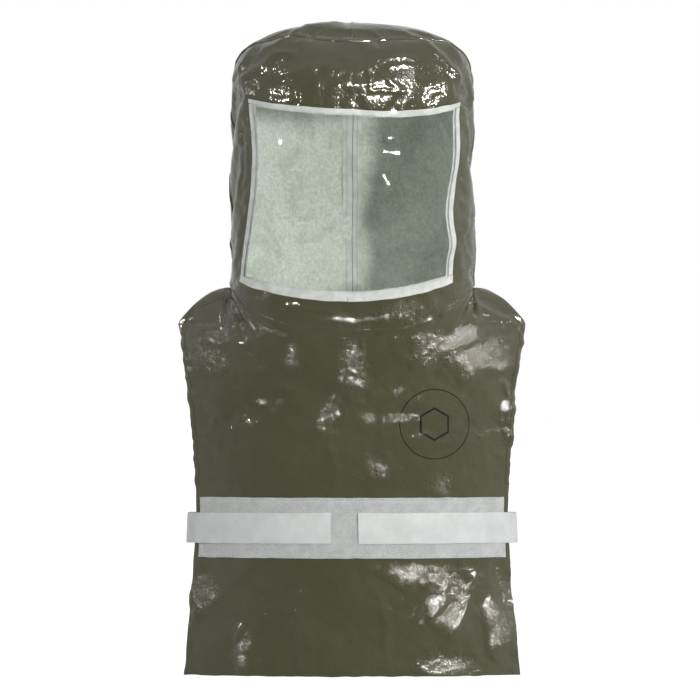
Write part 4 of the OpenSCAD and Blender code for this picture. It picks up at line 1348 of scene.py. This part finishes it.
# ==== Light, floor and camera ====
LIT_H = -350.0
LIGHTS = [  # name, azimuth, elevation, distance, size, power, whether it lights gloss (or else the matt)
    ("high_glints", 28, 50, 3.2, (0.22, 0.22), 12, True),
    ("low_glints", 14, 31, 3.2, (0.32, 0.26), 560, True),
    ("right_glints", 58, 19, 3.2, (0.20, 0.26), 150, True),
    ("left_glints", -40, 19, 3.2, (0.18, 0.18), 60, True),
    ("visor_glints", 16, 10, 3.2, (0.10, 0.10), 8, True),
    ("face_light", 28, 3, 3.2, (0.30, 0.30), 57, False),
    ("right_crown", 72, 46, 3.0, (0.12, 0.12), 4, True),
    ("left_crown", -66, 50, 3.0, (0.12, 0.12), 12, True),
    ("right_rim", 112, 14, 3.0, (0.16, 0.5), 1.3, True),
    ("left_rim", -88, 20, 3.0, (0.16, 0.4), 6, True)]


def box_light(name, azimuth, elevation, far, size, power, gloss):
    """A soft box aimed at the visor: azimuth 0 is in front and 90 to the right."""
    data = bpy.data.lights.new(name, "AREA")
    data.shape = "RECTANGLE"
    data.size, data.size_y = size
    data.energy = power
    if gloss:
        data.color = (1.0, 0.98, 0.91)
    light = placed(name, data)
    turn, lift = math.radians(azimuth), math.radians(elevation)
    target = Vector((0, 0, LIT_H * MM))
    way = Vector((math.sin(turn) * math.cos(lift), -math.cos(turn) * math.cos(lift), math.sin(lift)))
    light.location = target + way * far
    light.rotation_euler = (-way).to_track_quat("-Z", "Y").to_euler()
    light.visible_glossy = gloss
    light.visible_diffuse = not gloss


def studio():
    for light in LIGHTS:
        box_light(*light)
    world = bpy.data.worlds.new("studio")
    bpy.context.scene.world = world
    world.use_nodes = True
    nodes, links = world.node_tree.nodes, world.node_tree.links
    background = nodes["Background"]
    way = nodes.new("ShaderNodeTexCoord")
    apart = nodes.new("ShaderNodeSeparateXYZ")
    links.new(way.outputs["Generated"], apart.inputs["Vector"])
    room = nodes.new("ShaderNodeMapRange")
    room.interpolation_type = "SMOOTHSTEP"
    for key, number in (("From Min", -0.92), ("From Max", -0.25), ("To Min", 0.18), ("To Max", 0.80)):
        room.inputs[key].default_value = number
    links.new(apart.outputs["Y"], room.inputs["Value"])
    ray = nodes.new("ShaderNodeLightPath")
    levels = nodes.new("ShaderNodeMapRange")
    links.new(ray.outputs["Is Camera Ray"], levels.inputs["Value"])
    links.new(room.outputs["Result"], levels.inputs["To Min"])
    links.new(levels.outputs["Result"], background.inputs["Strength"])
    background.inputs["Color"].default_value = (1, 1, 1, 1)


def pale_floor():
    mesh = bpy.data.meshes.new("floor")
    mesh.from_pydata([(-30, -30, 0), (30, -30, 0), (30, 30, 0), (-30, 30, 0)], [], [(0, 1, 2, 3)])
    floor = placed("floor", mesh)
    floor.location.z = (HEM_Z - 4) * MM
    white = Shader("pale_floor").set(
        Base_Color=(0, 0, 0, 1), Emission_Color=(1, 1, 1, 1), Emission_Strength=1.0)
    mesh.materials.append(white.material)
    floor.visible_diffuse = False
    floor.visible_glossy = False


CAMERA_FAR = 9.0
CAMERA_X = -2.5
CAMERA_Z = -407.75
FRAME_WIDTH = 0.875


def camera():
    data = bpy.data.cameras.new("camera")
    data.sensor_width = 36
    data.lens = 36 * CAMERA_FAR / FRAME_WIDTH
    data.clip_end = 100
    made = placed("camera", data)
    made.location = (CAMERA_X * MM, -CAMERA_FAR, CAMERA_Z * MM)
    made.rotation_euler = (math.pi / 2, 0, 0)
    bpy.context.scene.camera = made


# ==== Putting it together ====
camera()
studio()
pale_floor()
bpy.context.scene.view_settings.view_transform = "Standard"

hood_cloths = make_hood()
make_hood_seams()
make_back_seam()
make_window()
make_visor_tapes()
make_neck()
front_cloth = make_bib(-1, "front", marked_film())
back_cloth = make_bib(1, "back", FILM)
make_shoulder_welts()
make_arm_openings()
band, band_thread = make_band()
for sign, name in SIDES:
    make_strap(sign, name)


def corners(box):
    return [list(corner) for corner in box]
